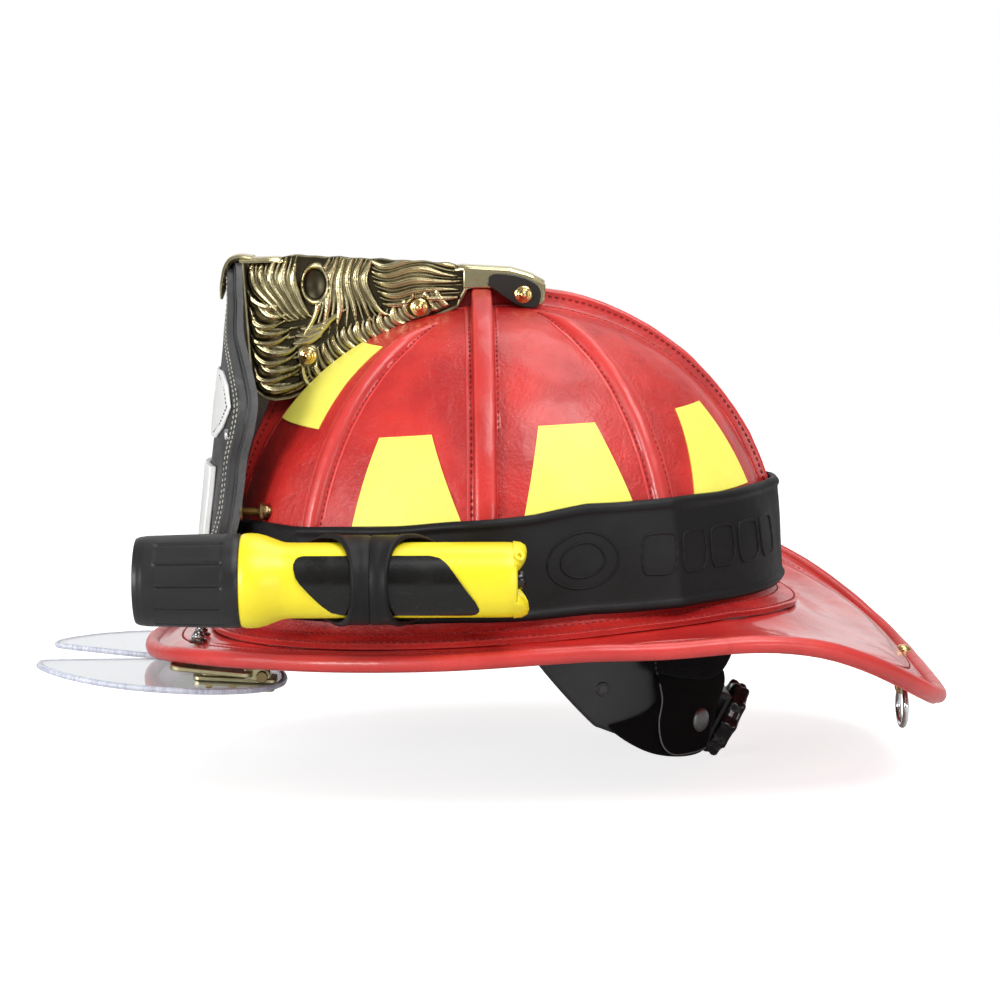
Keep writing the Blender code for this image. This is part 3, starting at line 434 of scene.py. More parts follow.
def reflective_tape(name):
    """A slightly soiled film over fine hexagonal cells; the light they throw back is painted in as a faint
    glow.
    """
    mat, tree, bsdf = start_material(name)
    where = coordinates(tree)
    hexes = cells(tree, where, 0.9, "DISTANCE_TO_EDGE")
    soil = noise(tree, where, 14, 5.0, 0.6)
    colours = mix(tree, ramp(tree, soil, 0.3, 0.7), (0.78, 0.72, 0.10), (0.87, 0.80, 0.13))
    # The emission is a painted glow: the tape is no lamp, and the glow stands for the light its cells
    # throw back.
    feed(bsdf, {"Base Color": colours, "Emission Color": colours, "Emission Strength": 0.16,
                "Roughness": 0.45, "Normal": bump(tree, ramp(tree, hexes, 0.0, 0.1), 0.03)})
    return mat


def antique_brass(name):
    """Brass that is polished where it stands proud and dark in its recesses."""
    bright, mid, dark = (0.66, 0.59, 0.35), (0.40, 0.34, 0.18), (0.016, 0.012, 0.008)
    patina = 0.93
    mat, tree, bsdf = start_material(name)
    where = coordinates(tree)
    relief = add_node(tree, "ShaderNodeAttribute", attribute_name="relief").outputs["Fac"]
    smudge = noise(tree, where, 9, 6.0, 0.65)
    recess = ramp(tree, maths(tree, "ADD", relief, maths(tree, "MULTIPLY", smudge, 0.3)), 0.30, 0.85)
    edge = worn_edges(tree, 0.50, 0.54)
    colours = mix(tree, ramp(tree, smudge, 0.35, 0.65), mid, bright)
    colours = mix(tree, maths(tree, "MULTIPLY", maths(tree, "SUBTRACT", 1.0, recess), patina),
                  colours, dark)
    colours = mix(tree, maths(tree, "MULTIPLY", edge, 0.5), colours, bright)
    feed(bsdf, {"Base Color": colours, "Metallic": 1.0,
                "Roughness": ramp(tree, recess, 0.0, 1.0, 0.42, 0.27),
                "Normal": bump(tree, noise(tree, where, 1.2, 5.0), 0.02)})
    return mat


def metal(name, colour, roughness, scratch=0.05):
    """Metal with faint level scratches."""
    mat, tree, bsdf = start_material(name)
    lines = noise(tree, coordinates(tree, (1, 1, 6)), 2.5, 5.0, 0.7)
    colours = mix(tree, ramp(tree, lines, 0.35, 0.6), shades(colour, 0.72), colour)
    feed(bsdf, {"Base Color": colours, "Metallic": 1.0,
                "Roughness": ramp(tree, lines, 0.3, 0.7, roughness + 0.08, roughness),
                "Normal": bump(tree, lines, scratch)})
    return mat


def clear_plastic(name):
    """Clear sheet: mostly see-through, with a faint body tint and a gloss."""
    mat, tree, bsdf = start_material(name)
    haze = noise(tree, coordinates(tree), 16, 5.0, 0.65)
    feed(bsdf, {"Base Color": (0.93, 0.96, 1.0), "Transmission Weight": 1.0, "IOR": 1.5,
                "Roughness": ramp(tree, haze, 0.3, 0.7, 0.04, 0.0)})
    return mat


def lens_rim(name):
    """The sheet's sawn edge, which gathers light: pale blue-grey with fine upright marks."""
    mat, tree, bsdf = start_material(name)
    marks = noise(tree, coordinates(tree, (1, 1, 0.08)), 1.6, 4.0, 0.7)
    colours = mix(tree, ramp(tree, marks, 0.35, 0.65), (0.42, 0.44, 0.56), (0.74, 0.76, 0.84))
    feed(bsdf, {"Base Color": colours, "Transmission Weight": 0.1, "Roughness": 0.3,
                "Normal": bump(tree, marks, 0.15)})
    return mat


def label_ink(name):
    """Glossy black film, scuffed lengthways."""
    mat, tree, bsdf = start_material(name)
    scuffs = noise(tree, coordinates(tree, (0.3, 1, 1)), 2.0, 6.0, 0.7)
    colours = mix(tree, ramp(tree, scuffs, 0.60, 0.75), (0.006, 0.0055, 0.005), (0.03, 0.03, 0.03))
    smears = noise(tree, coordinates(tree), 9, 4.0)
    feed(bsdf, {"Base Color": colours, "Specular IOR Level": 0.35,
                "Roughness": ramp(tree, smears, 0.3, 0.7, 0.35, 0.16)})
    return mat


RED = (0.58, 0.024, 0.018)
DEEP_RED = (0.44, 0.012, 0.010)
WORN_RED = (0.72, 0.09, 0.08)

# finish: material and the slot it belongs to; a slot's first finish also dresses the CAD nodes
FINISHES = {
    "red": (leather("red_leather", RED, (0.38, 0.010, 0.009), (0.70, 0.08, 0.07), 0.40, 0.22),
            "red_leather"),
    "red_smooth": (leather("red_leather_smooth", (0.58, 0.024, 0.019), DEEP_RED, WORN_RED, 0.38,
                           0.22, depth=0.16, wrinkle=14.0), "red_leather"),
    "red_gloss": (leather("red_leather_glossy", RED, DEEP_RED, WORN_RED, 0.36, 0.75,
                          depth=0.22, wrinkle=16.0), "red_leather"),
    "red_thread": (thread("red_thread", (0.36, 0.018, 0.018)), "red_leather"),
    "lime": (reflective_tape("lime_tape"), "lime_tape"),
    "brass": (antique_brass("antique_brass"), "brass"),
    "bright_brass": (metal("bright_brass", (0.80, 0.55, 0.22), 0.16), "brass"),
    "dark_brass": (metal("dark_brass", (0.30, 0.22, 0.10), 0.30), "brass"),
    "black_leather": (leather("black_leather", (0.030, 0.031, 0.033), (0.014, 0.014, 0.015),
                              (0.10, 0.10, 0.10), 0.45, 0.1, grain=1.0, depth=0.2), "black_leather"),
    "cut_edge": (leather("leather_cut_edge", (0.070, 0.070, 0.072), (0.035, 0.035, 0.036),
                         (0.14, 0.14, 0.14), 0.7, 0.0, grain=0.5, depth=0.3, wrinkle=2.0),
                 "black_leather"),
    "cream_thread": (thread("cream_thread", (0.72, 0.68, 0.58)), "white_leather"),
    "white": (leather("white_leather", (0.80, 0.80, 0.79), (0.66, 0.66, 0.64), (0.9, 0.9, 0.88),
                      0.42, 0.15, grain=1.0, depth=0.15), "white_leather"),
    "clear": (clear_plastic("clear_polycarbonate"), "clear_lens"),
    "rubber": (moulded("black_rubber", (0.0085, 0.008, 0.0085), 0.52, 0.7, 0.06, gloss=0.22), "rubber"),
    "yellow": (moulded("yellow_polymer", (0.88, 0.73, 0.018), 0.34, 0.4, 0.03, 0.05, 0.93),
               "yellow_plastic"),
    "black": (moulded("black_polymer", (0.011, 0.011, 0.012), 0.40, 0.4, 0.03, gloss=0.42),
              "black_plastic"),
    "gloss_black": (moulded("glossy_black_polymer", (0.012, 0.012, 0.013), 0.16, 0.6, 0.015, 0.04),
                    "black_plastic"),
    "label": (label_ink("black_label"), "black_plastic"),
    "chrome": (metal("polished_steel", (0.82, 0.82, 0.82), 0.08, 0.01), "chrome"),
    "foam": (moulded("black_foam", (0.03, 0.03, 0.03), 0.9, 1.2, 0.5), "foam"),
    # patina: the dark plate in the holder's tail recess, and painted shade in the nape arm's hole.
    "patina": (moulded("dark_patina_and_painted_shade", (0.020, 0.017, 0.014), 0.30, 2.0, 0.05), "brass"),
    "black_thread": (thread("black_thread", (0.03, 0.03, 0.03)), "white_leather"),
    "lens_edge": (lens_rim("polished_lens_edge"), "clear_lens"),
    "dull_steel": (metal("brushed_steel", (0.16, 0.16, 0.16), 0.3), "chrome"),
    "dark_steel": (metal("dark_steel", (0.22, 0.22, 0.21), 0.16), "chrome"),
    "webbing": (fabric("black_webbing", (0.045, 0.045, 0.048)), "webbing"),
    "suede": (fabric("black_suede", (0.0035, 0.003, 0.003), 0.5, 0.9), "suede"),
    "flannel": (fabric("black_flannel", (0.0055, 0.0055, 0.006), 1.4, 0.6), "suede"),
}


# ---------------------------------------------------------------- crown form

def flange_height(x):
    """Height of the crown's foot, which follows the brim's gentle wave."""
    return np.interp(x, (-139, -89, -46, -3, 57, 100, 130, 143),
                     (-58.5, -55, -52, -49, -45, -43.5, -45.5, -48))


def xyz(x, y, z):
    return np.stack(np.broadcast_arrays(x, y, z), axis=-1).astype(float)


def signed_power(value, power):
    return np.sign(value) * np.abs(value) ** power


def crown_scale(z):
    lift = np.maximum(0.0, np.asarray(z, float) - CROWN_Z) / CROWN_RISE
    return np.maximum(0.0, 1 - lift ** CROWN_FULL) ** (1 / CROWN_FULL)


def crown_section(angle, z, grow=0.0):
    """Points of the crown at a height, grown outwards in plan."""
    scale = crown_scale(z)
    c, s = np.cos(angle), np.sin(angle)
    normal = unit(xyz(c / CROWN_AX, s / CROWN_AY, 0.0))
    point = xyz(CROWN_X + CROWN_AX * scale * c, CROWN_AY * scale * s, z)
    return point + normal * np.asarray(grow, float)[..., None]


def crown_normal(point):
    x = (point[..., 0] - CROWN_X) / CROWN_AX
    y = point[..., 1] / CROWN_AY
    spread = np.maximum(np.hypot(x, y), 1e-6) ** (CROWN_FULL - 2)
    lift = np.maximum(0.0, point[..., 2] - CROWN_Z) / CROWN_RISE
    return unit(xyz(spread * x / CROWN_AX, spread * y / CROWN_AY,
                    lift ** (CROWN_FULL - 1) / CROWN_RISE))


def dome(angle, lift):
    """The crown's point at a plan angle and a lift angle."""
    power = 2 / CROWN_FULL
    spread = signed_power(np.cos(lift), power)
    level = signed_power(np.sin(lift), power)
    return xyz(CROWN_X + CROWN_AX * spread * np.cos(angle), CROWN_AY * spread * np.sin(angle),
               CROWN_Z + CROWN_RISE * level)


def side_line(lift, side):
    """Crown points in the plane of a side comb."""
    offset = abs(SIDE_COMB_X - CROWN_X) / CROWN_AX
    highest = (1 - offset ** CROWN_FULL) ** (1 / CROWN_FULL)
    level = highest * signed_power(np.sin(lift), 2 / CROWN_FULL)
    spread = np.maximum(0.0, 1 - np.maximum(0.0, level) ** CROWN_FULL) ** (1 / CROWN_FULL)
    y = np.sqrt(np.maximum(0.0, spread ** 2 - offset ** 2))
    return xyz(SIDE_COMB_X, side * CROWN_AY * y * np.sign(np.cos(lift)), CROWN_Z + CROWN_RISE * level)


def seam_angles():
    angles = [0.0, math.pi, -math.pi]
    for sign in (-1, 1):
        angles += [sign * math.radians(a) for a in RIB_ANGLES.values()]
        angles.append(sign * math.radians(95.0))
    return np.array(sorted(angles))


def segment_swell(angle):
    """0 on the seams and 1 in the middle of each leather segment."""
    seams = seam_angles()
    angle = (np.asarray(angle) + math.pi) % (2 * math.pi) - math.pi
    after = np.clip(np.searchsorted(seams, angle, side="right"), 1, len(seams) - 1)
    share = (angle - seams[after - 1]) / (seams[after] - seams[after - 1])
    return np.sin(math.pi * np.clip(share, 0, 1)) ** 0.6


SEGMENT_SWELL = 0.7                # how far each leather segment swells between its seams


def top_fade(z):
    """Fades the swell out towards the top of the crown."""
    return np.clip((90 - z) / 30, 0, 1)


FOOT = [(FLANGE - 0.9, -0.9), (FLANGE - 0.2, -0.1), (FLANGE - 0.9, 0.15), (11.2, 0.0), (9.0, 0.25),
        (6.8, 0.5), (4.6, 0.9), (3.0, 1.6), (1.8, 2.7), (0.9, 4.2), (0.3, 6.0), (0.0, 8.0)]

UNDERFOOT = [(-3.0, 9.0), (-3.0, 0.0), (-2.0, -2.4), (3.0, -2.9), (8.0, -2.9), (FLANGE - 1.6, -2.7)]


def foot_ring(angle, grow, lift):
    """A ring of the crown's foot, by its distance out in plan and its height over the flange."""
    reach = np.full(angle.shape, grow)
    x = crown_section(angle, CROWN_Z, reach)[:, 0]
    return crown_section(angle, flange_height(x) + CROWN_WALL + lift, reach)


def crown():
    """Eight stretched leather segments over one form, with a stitched flange at the foot."""
    angle = np.linspace(0, 2 * math.pi, 360, endpoint=False)
    rows = [foot_ring(angle, grow, lift) for grow, lift in FOOT]
    start = rows[-1][:, 2]
    for a in np.radians(np.concatenate([np.linspace(1.5, 84, 84), (86, 88, 89.4)])):
        rows.append(crown_section(angle, start + (CROWN_TOP - start) * math.sin(a)))
    outer = np.array(rows)
    normal = crown_normal(outer)
    height = np.clip((outer[..., 2] + 38) / 30, 0, 1) * top_fade(outer[..., 2])
    swell = SEGMENT_SWELL * segment_swell(angle)[None] * height
    creases = 0.16 * ripple(outer, 30, 3) + 0.07 * ripple(outer * (1, 1, 0.45), 11, 5)
    creases = creases + 0.035 * np.abs(ripple(outer, 5, 8))
    outer = outer + normal * (swell + creases * np.clip(height + 0.35, 0, 1))[..., None]
    downwards = slice(None, len(FOOT) - 1, -1)
    inner = [ring - n * CROWN_WALL for ring, n in zip(rows[downwards], normal[downwards])]
    inner = np.array(inner + [foot_ring(angle, grow, lift) for grow, lift in UNDERFOOT])
    loft("crown_leather", np.concatenate([outer, inner]), "red", wrap_rows=True,
         replaces=["crown_shell"], sharp=50)
    path = foot_ring(angle, FLANGE - 2.4, 0.1)
    stitches("flange_stitches", path, xyz(0 * angle, 0 * angle, 1.0), "red_thread", closed=True)
    path = foot_ring(angle, 2.6, 1.95)
    stitches("foot_stitches", path, unit(crown_normal(path) + (0, 0, 0.8)), "red_thread", closed=True)


# ---------------------------------------------------------------- combs and ribs

COMB_SPANS = {"front": (-1, 86.0), "rear": (2, 94.2), "left": (1.5, 87.2), "right": (1.5, 87.2)}
COMB_SECTION = [(-8.0, -0.6), (-7.8, 0.25), (-6.9, 0.5), (-6.1, 0.32), (-5.3, 0.55), (-4.75, 1.2)]
COMB_CREST = [(-4.55, -1.7), (-4.35, -0.75), (-3.7, -0.2), (-2.2, 0.0), (0.0, 0.08)]
COMB_WELT = (6.15, 0.45)           # its lower stitches' distance from the middle, and height
COMB_FLANK = (4.75, 0.62)          # the same for its upper stitches, as a share of its height
RIB_WELT = (5.1, 0.4)
RIB_REACH = {"front": 67.5, "rear": 76.5}
RIB_SECTION = [(-6.9, -0.5), (-6.7, 0.3), (-5.8, 0.5), (-5.0, 0.3), (-4.3, 0.7), (-3.9, 1.8),
               (-3.1, 3.1), (-1.8, 3.95), (0.0, 4.2)]


def comb_height(kind, z):
    """The combs fade to a low welt at the brim, and the front one has a fin above it."""
    if kind == "front":
        return np.interp(z, (-40, -3, 9, 23, 39, 46, 54, 70), (2.6, 3.2, 4.4, 5.8, 8.2, 10.5, 9.5, 8.2))
    return np.interp(z, (-38, -20, 0, 10, 30, 56, 75, 90), (1.4, 2.4, 4.6, 5.6, 6.1, 6.3, 7.2, 8.8))


def ridge_line(kind, first, last):
    """Points, sideways and outward directions of a comb, from its foot to the crown's top."""
    count = 90
    lift = np.radians(np.linspace(first, last, count))
    if kind in SIDES:
        spot = side_line(lift, SIDES[kind])
        normal = crown_normal(spot)
        return spot, xyz(np.ones(count), 0.0, 0.0), unit(normal * (0, 1, 1))
    spot = dome(0.0 if kind == "rear" else math.pi, lift)
    return spot, xyz(0.0, np.ones(count), 0.0), crown_normal(spot)


def mirrored(half):
    return half + [(-a, b) for a, b in reversed(half) if a]


def comb_points(height):
    top = max(height, 1.9)
    half = COMB_SECTION + [(a, max(top + b, 1.25 + 0.1 * i)) for i, (a, b) in enumerate(COMB_CREST)]
    return mirrored(half)


def combs():
    for kind, (first, last) in COMB_SPANS.items():
        spot, across, out = ridge_line(kind, first, last)
        rings = []
        for p, side, up in zip(spot, across, out):
            section = comb_points(float(comb_height(kind, p[2])))
            rings.append([p + side * a + up * b for a, b in section])
        grid = np.array(rings)
        shift = 0.13 * ripple(grid, 16, 21) + 0.05 * ripple(grid, 5, 22)
        grid += out[:, None] * shift[..., None]
        loft("comb_leather_" + kind, grid, "red_smooth", replaces=["comb_" + kind])
        for sign in (-1, 1):
            path = spot + across * (COMB_WELT[0] * sign) + out * COMB_WELT[1]
            stitches("comb_stitches_{}_{}".format(kind, "ab"[sign > 0]), path[4:-2], out[4:-2],
                     "red_thread")
            if kind in SIDES:
                continue
            height = comb_height(kind, spot[:, 2])
            path = spot + across * (COMB_FLANK[0] * sign) + out * (height * COMB_FLANK[1])[:, None]
            stitches("comb_upper_stitches_{}_{}".format(kind, "ab"[sign > 0]), path[18:-6],
                     across[18:-6] * sign, "red_thread")


def ribs():
    for end, degrees in RIB_ANGLES.items():
        for side, sign in SIDES.items():
            name = "{}_{}".format(end, side)
            share = np.linspace(0, 1, 70)
            angle = math.radians(degrees) * sign
            spot = dome(angle, np.radians(3 + RIB_REACH[end] * share))
            out = crown_normal(spot)
            across = unit(np.cross(out, np.gradient(spot, axis=0)))
            fade = np.minimum(1.0, (1 - share) * 6 + 0.05)
            rings = []
            narrow = 0.35 + 0.65 * fade
            for p, s, up, f, wide in zip(spot, across, out, fade, narrow):
                rings.append([p + s * a * wide + up * (b * f if b > 0 else b)
                              for a, b in mirrored(RIB_SECTION)])
            grid = np.array(rings)
            grid += out[:, None] * (0.10 * ripple(grid, 12, 31))[..., None]
            loft("rib_leather_" + name, grid, "red_smooth", replaces=["rib_" + name])
            for edge in (-1, 1):
                path = spot + across * (edge * RIB_WELT[0] * narrow)[:, None] + out * RIB_WELT[1]
                stitches("rib_stitches_{}_{}".format(name, "ab"[edge > 0]), path[2:-2], out[2:-2],
                         "red_thread", pitch=2.9)


# ---------------------------------------------------------------- brim

BRIM_WAVE = ((-165.5, -149, -112, -67, -25, 18, 60, 82, 103, 130, 150, 170, 190, 203, 226),
             (-68.5, -62.6, -58.8, -56.1, -53.4, -49.8, -47.5, -44.0, -40.0, -40.7, -47.3, -57.8,
              -72.0, -82.2, -106))


def brim_edge_height(x, y):
    """Height of the rolled edge. The tail dips, and it is twisted a little, right side up."""
    level = 0
    for shift, share in ((-14, 0.14), (-7, 0.22), (0, 0.28), (7, 0.22), (14, 0.14)):
        level = level + share * np.interp(x + shift, *BRIM_WAVE)
    share = np.clip((x - 30) / 110, 0, 1)
    return level + TAIL_TWIST * y * share * share * (3 - 2 * share)


def brim_outline(angle, inset=0.0):
    c, s = np.cos(angle), np.sin(angle)
    power = np.where(c > 0, 3.0, 2.0)
    reach = np.where(c > 0, BRIM_REAR, BRIM_FRONT)
    edge = reach * signed_power(c, 2 / power)
    y = (BRIM_HALF - inset) * signed_power(s, 2 / power)
    return xyz(BRIM_X + edge * (1 - inset / reach), y, brim_edge_height(BRIM_X + edge, y))


def brim_top(angle, share):
    """Points of the brim's upper face from under the crown (0) to the rolled edge (1)."""
    foot_x = crown_section(angle, CROWN_Z, np.full(np.shape(angle), FLANGE))
    foot = foot_x * (1, 1, 0) + xyz(0 * angle, 0 * angle, flange_height(foot_x[..., 0]) - 0.3)
    edge = brim_outline(angle, ROLL_R + 1.2) + (0, 0, BRIM_THICK / 2)
    share = np.asarray(share, float)
    point = foot + (edge - foot) * share[..., None]
    point[..., 2] = foot[..., 2] + (edge - foot)[..., 2] * np.maximum(share, 0)
    arch = TAIL_ARCH * np.maximum(share, 0) ** 3 * (1 - share)
    arch = arch * np.maximum(0.0, (edge[..., 0] - 120) / 90) ** 1.5
    return point + xyz(0 * arch, 0 * arch, arch)


def brim_width(angle):
    return np.linalg.norm(brim_top(angle, np.ones_like(angle)) - brim_top(angle, 0 * angle), axis=-1)


BRIM_STITCH = 9.5                # distance of the stitched line from the rolled edge


def brim_path(count, inside):
    angle = np.linspace(0, 2 * math.pi, count, endpoint=False)
    share = 1 - inside / brim_width(angle)
    path = brim_top(angle, share)
    along = np.roll(path, -1, 0) - np.roll(path, 1, 0)
    normal = unit(np.cross(along, brim_top(angle, share + 0.02) - path))
    return path, normal * np.sign(normal[:, 2:])


def brim():
    """Thick leather with a stitched channel inside its edge and shallow tooled lines."""
    angle = np.linspace(0, 2 * math.pi, 420, endpoint=False)
    width = brim_width(angle)
    edge_rows = np.array([19, 14.5, 14, 13.5, 11.5, 10.4, 9.9, 9.5, 9.1, 8.6, 7, 4.5, 2, 0])
    under_foot = -8.0 / width
    reach = 1 - 21 / width - under_foot
    inner = [brim_top(angle, under_foot + reach * s) for s in np.linspace(0, 1, 24)]
    rows = inner + [brim_top(angle, 1 - inside / width) for inside in edge_rows]
    rows.append(brim_outline(angle) + (0, 0, BRIM_THICK / 2))
    top = np.array(rows)
    groove = {9.5: -0.55, 9.9: -0.3, 9.1: -0.3, 14: -0.22, 7: 0.22, 4.5: 0.25, 8.6: 0.1}
    for i, inside in enumerate(edge_rows):
        top[len(inner) + i, :, 2] += groove.get(float(inside), 0.0)
    middle = np.concatenate([np.ones(len(inner)), np.linspace(1, 0.1, len(edge_rows)), [0]])
    wave = 0.22 * ripple(top, 46, 41) + 0.07 * ripple(top, 13, 42) + 0.03 * np.abs(ripple(top, 5, 43))
    top[..., 2] += wave * middle[:, None]
    under = np.array(rows[::-3] + [rows[0]])
    under[..., 2] -= BRIM_THICK
    loft("brim_leather", np.concatenate([top, under]), "red_gloss", wrap_rows=True, replaces=["brim"],
         sharp=60)
    path, normal = brim_path(900, BRIM_STITCH)
    stitches("brim_stitches", path - normal * 0.25, normal, "red_thread", closed=True, pitch=3.3)


def brim_roll():
    angle = np.linspace(0, 2 * math.pi, 720, endpoint=False)
    spots = resample(brim_outline(angle), 3.0, closed=True)
    _, outward, up = path_frames(spots, True)
    a = np.linspace(0, 2 * math.pi, 18, endpoint=False)
    flow = np.cumsum(np.linalg.norm(np.roll(spots, -1, 0) - spots, axis=1))
    radius = ROLL_R + 0.05 * np.sin(flow * 2 * math.pi / 31) + 0.07 * ripple(spots, 17, 51)
    ring = outward[:, None] * np.cos(a)[:, None] + up[:, None] * np.sin(a)[:, None]
    loft("brim_roll_leather", spots[:, None] + ring * radius[:, None, None], "red_smooth",
         wrap_rows=True, replaces=["brim_edge_roll"], sharp=80)
    lip_angle = math.radians(-118)
    inward = np.sign(np.sum(outward * (spots - (BRIM_X, 0, 0)), axis=1, keepdims=True))
    lip = outward * inward * math.cos(lip_angle) + up * math.sin(lip_angle)
    tube("brim_welt", spots + lip * (ROLL_R + 0.1), 0.9, "red_smooth", closed=True, sides=8)
    stitches("brim_roll_stitches", spots + lip * (ROLL_R + 0.75), lip, "red_thread", closed=True,
             pitch=3.1, length=2.4, radius=0.28)


# ---------------------------------------------------------------- reflective patches

REFLECTORS = {
    "front_side": [(-55, 36.6), (-32, 38.6), (-19, 1.5), (-67, -1.5)],
    "rear_side": [(14.5, 42.5), (39.5, 43.5), (56, 9), (7.5, 2.3)],
    "front": [(-64, 75.5), (-54.5, 74.5), (-83, 38.5), (-101.5, 40.5)],
    "rear": [(77.5, 47.5), (90, 49.5), (112.5, 12), (84.7, 10)],
}


def crown_angles(x, z):
    """Plan and lift angle of the crown point on the left side with this x and z."""
    lift = math.asin(min(1.0, (z - CROWN_Z) / CROWN_RISE) ** (CROWN_FULL / 2))
    c = (x - CROWN_X) / (CROWN_AX * math.cos(lift) ** (2 / CROWN_FULL))
    return np.array([-math.acos(max(-0.998, min(0.998, c))), lift])


def reflectors():
    for where, corners in REFLECTORS.items():
        a, b, c, d = [crown_angles(*corner) for corner in corners]
        u, v = np.meshgrid(np.linspace(0, 1, 26), np.linspace(0, 1, 26))
        u, v = u[..., None], v[..., None]
        angles = (1 - v) * ((1 - u) * a + u * b) + v * ((1 - u) * d + u * c)
        point = dome(angles[..., 0], angles[..., 1])
        normal = crown_normal(point)
        swell = SEGMENT_SWELL * segment_swell(angles[..., 0]) * top_fade(point[..., 2])
        front = point + normal * (swell + 0.62 + 0.07 * ripple(point, 26, 61))[..., None]
        back = point + normal * (swell - 0.2)[..., None]
        for side, sign in SIDES.items():
            flip = np.array([1, -sign, 1])
            slab("tape_{}_{}".format(where, side), front * flip, back * flip, "lime", bevel=0.12,
                 replaces=["reflector_{}_{}".format(where, side)])


# ---------------------------------------------------------------- brass front holder

HOLDER_TOP = [(-117, 114.6), (-94, 115.3), (-47, 113), (5, 110), (14, 107.4), (21.3, 103.6)]
HOLDER_LOW = [(-117, 62), (-115.5, 53), (-111, 49.4), (-105.6, 48.3), (-98.6, 49.3), (-89, 52.8),
              (-80, 60), (-70, 67), (-56, 75), (-47, 80), (-38, 84.6), (-28, 88.4), (-20, 92),
              (-15.5, 100.5)]
HOLDER_BOLTS = [(-90, 69.8), (-38, 92.3), (10.5, 98.2)]
HOLLOW = (-86.5, 103.0)            # a dished spot in the casting's upper front


def between(x, start, rise, end, fall):
    """1 between start and end, ramping up and down inside them."""
    return np.clip((x - start) / rise, 0, 1) * np.clip((end - x) / fall, 0, 1)


def strand_row(count):
    """Number, half width and level of a row's strands: low ones lie between the tall ones."""
    return [(k / 2, 1.25, 0.42) if k % 2 else (k / 2, 2.15, 1.0) for k in range(2 * count - 1)]


def cast_strands():
    """Four control points, half width and level for the casting's flowing relief."""
    strands = []
    for i, half, level in strand_row(11):
        z = 102.0 - 4.6 * i
        x = -115.2 - 4.4 * (z - 50) / 63 + 2.8 * abs(math.sin(i * math.pi / 2))
        run = 16 + 0.9 * i + (7 if level < 1 else 0)
        rise = 1.15 * i
        strands.append(((x, z), (x + 1.0, z - 9.0), (x + run * 0.5, z - 12.5), (x + run, z - 9.5 + rise),
                        half, level))
    for i, half, level in strand_row(5):
        x = -115.5 + 5.0 * i
        strands.append(((x, 116), (x - 2.5, 104 - i), (x + 3 - 0.6 * i, 93),
                        (x + 17 - 2.6 * i, 85.5 + 0.6 * i), half, level))
    for i, half, level in strand_row(6):
        x = -79.0 + 3.9 * i
        strands.append(((x - 1, 117), (x - 5.5, 103), (x - 6 + 0.8 * i, 92),
                        (x - 13 + 4.4 * i, 77 + 2.2 * i), half, level))
    for i, half, level in strand_row(5):
        x, z = -61.5 + 1.4 * i, 115.0 - 4.9 * i
        end = -15.5 - 3.5 * level * abs(math.sin(i * math.pi / 2))
        strands.append(((x, z), (x + 12, z - 8.5 + 0.7 * i), (x + 20, z + 4.5 - 0.3 * i),
                        (end, 110.6 - 3.4 * i), half, level))
    for i, half, level in strand_row(13):
        x = -88.0 + 5.3 * i
        z = float(np.interp(x, *np.array(HOLDER_LOW).T))
        strands.append(((x - 5.5, z + 15.5 - 0.3 * i), (x - 6.5, z + 7), (x - 3.5, z + 2.6),
                        (x + 4.2, z + 2.6), half, level))
    for i, half, level in strand_row(3):
        strands.append(((-97 + 2.2 * i, 75 + 3.6 * i), (-90 + 2 * i, 76 + 3.2 * i),
                        (-84 + 2 * i, 80 + 2.4 * i), (-78 + 2.4 * i, 88 + 1.2 * i), half, level * 0.8))
    return strands


def strand_height(x, z, strand):
    """Height of one strand above the casting's ground: round, and drawn out at both ends."""
    *points, half, level = strand
    t = np.linspace(0, 1, 21)[:, None]
    a, b, c, d = np.array(points, float)
    line = a * (1 - t) ** 3 + 3 * b * t * (1 - t) ** 2 + 3 * c * t * t * (1 - t) + d * t ** 3
    height = np.zeros(x.shape)
    near = (x > line[:, 0].min() - 2) & (x < line[:, 0].max() + 2)
    near &= (z > line[:, 1].min() - 2) & (z < line[:, 1].max() + 2)
    spot = np.stack([x[near], z[near]], axis=-1)[:, None]
    step = line[1:] - line[:-1]
    share = np.sum((spot - line[:-1]) * step, axis=-1) / np.sum(step * step, axis=-1)
    share = np.clip(share, 0, 1)
    away = np.linalg.norm(spot - line[:-1] - share[..., None] * step, axis=-1)
    piece = np.argmin(away, axis=1)
    row = np.arange(len(piece))
    along = (piece + share[row, piece]) / len(step)
    wide = half * (0.12 + 0.88 * np.sin(math.pi * along ** 0.8) ** 0.7)
    ratio = np.minimum(1.0, away[row, piece] / wide)
    height[near] = (1 - ratio ** 2) ** 0.8 * (0.5 + 0.5 * np.sin(math.pi * along ** 0.8) ** 0.5)
    height[near] *= level * (1 - 0.20 * np.exp(-(ratio - 0.32) ** 2 / 0.012))
    return height


def cast_relief(x, z):
    """Height of the casting's flowing relief, 0 to 1."""
    bent_x = x + 0.8 * np.sin(z / 4.1 + 1.0) + 0.45 * np.sin(x / 3.3 + z / 7.0)
    bent_z = z + 0.8 * np.sin(x / 4.9 + 0.5) + 0.45 * np.sin(z / 3.1 - x / 6.0)
    height = np.zeros(x.shape)
    for strand in cast_strands():
        height = np.maximum(height, strand_height(bent_x, bent_z, strand))
    ring = np.hypot((x - HOLLOW[0]) / 0.8, (z - HOLLOW[1]) / 1.15)
    lip = np.clip(1 - np.abs(ring - 7.4) / 1.5, 0, 1) ** 0.6
    height = height * np.clip((ring - 7.0) / 1.5, 0, 1)
    height = np.maximum(height, lip * (0.45 + 0.45 * np.clip((HOLLOW[0] + 2 - x) / 4, 0, 1)))
    return height - 0.7 * np.clip(1 - (ring / 6.4) ** 2, 0, 1)


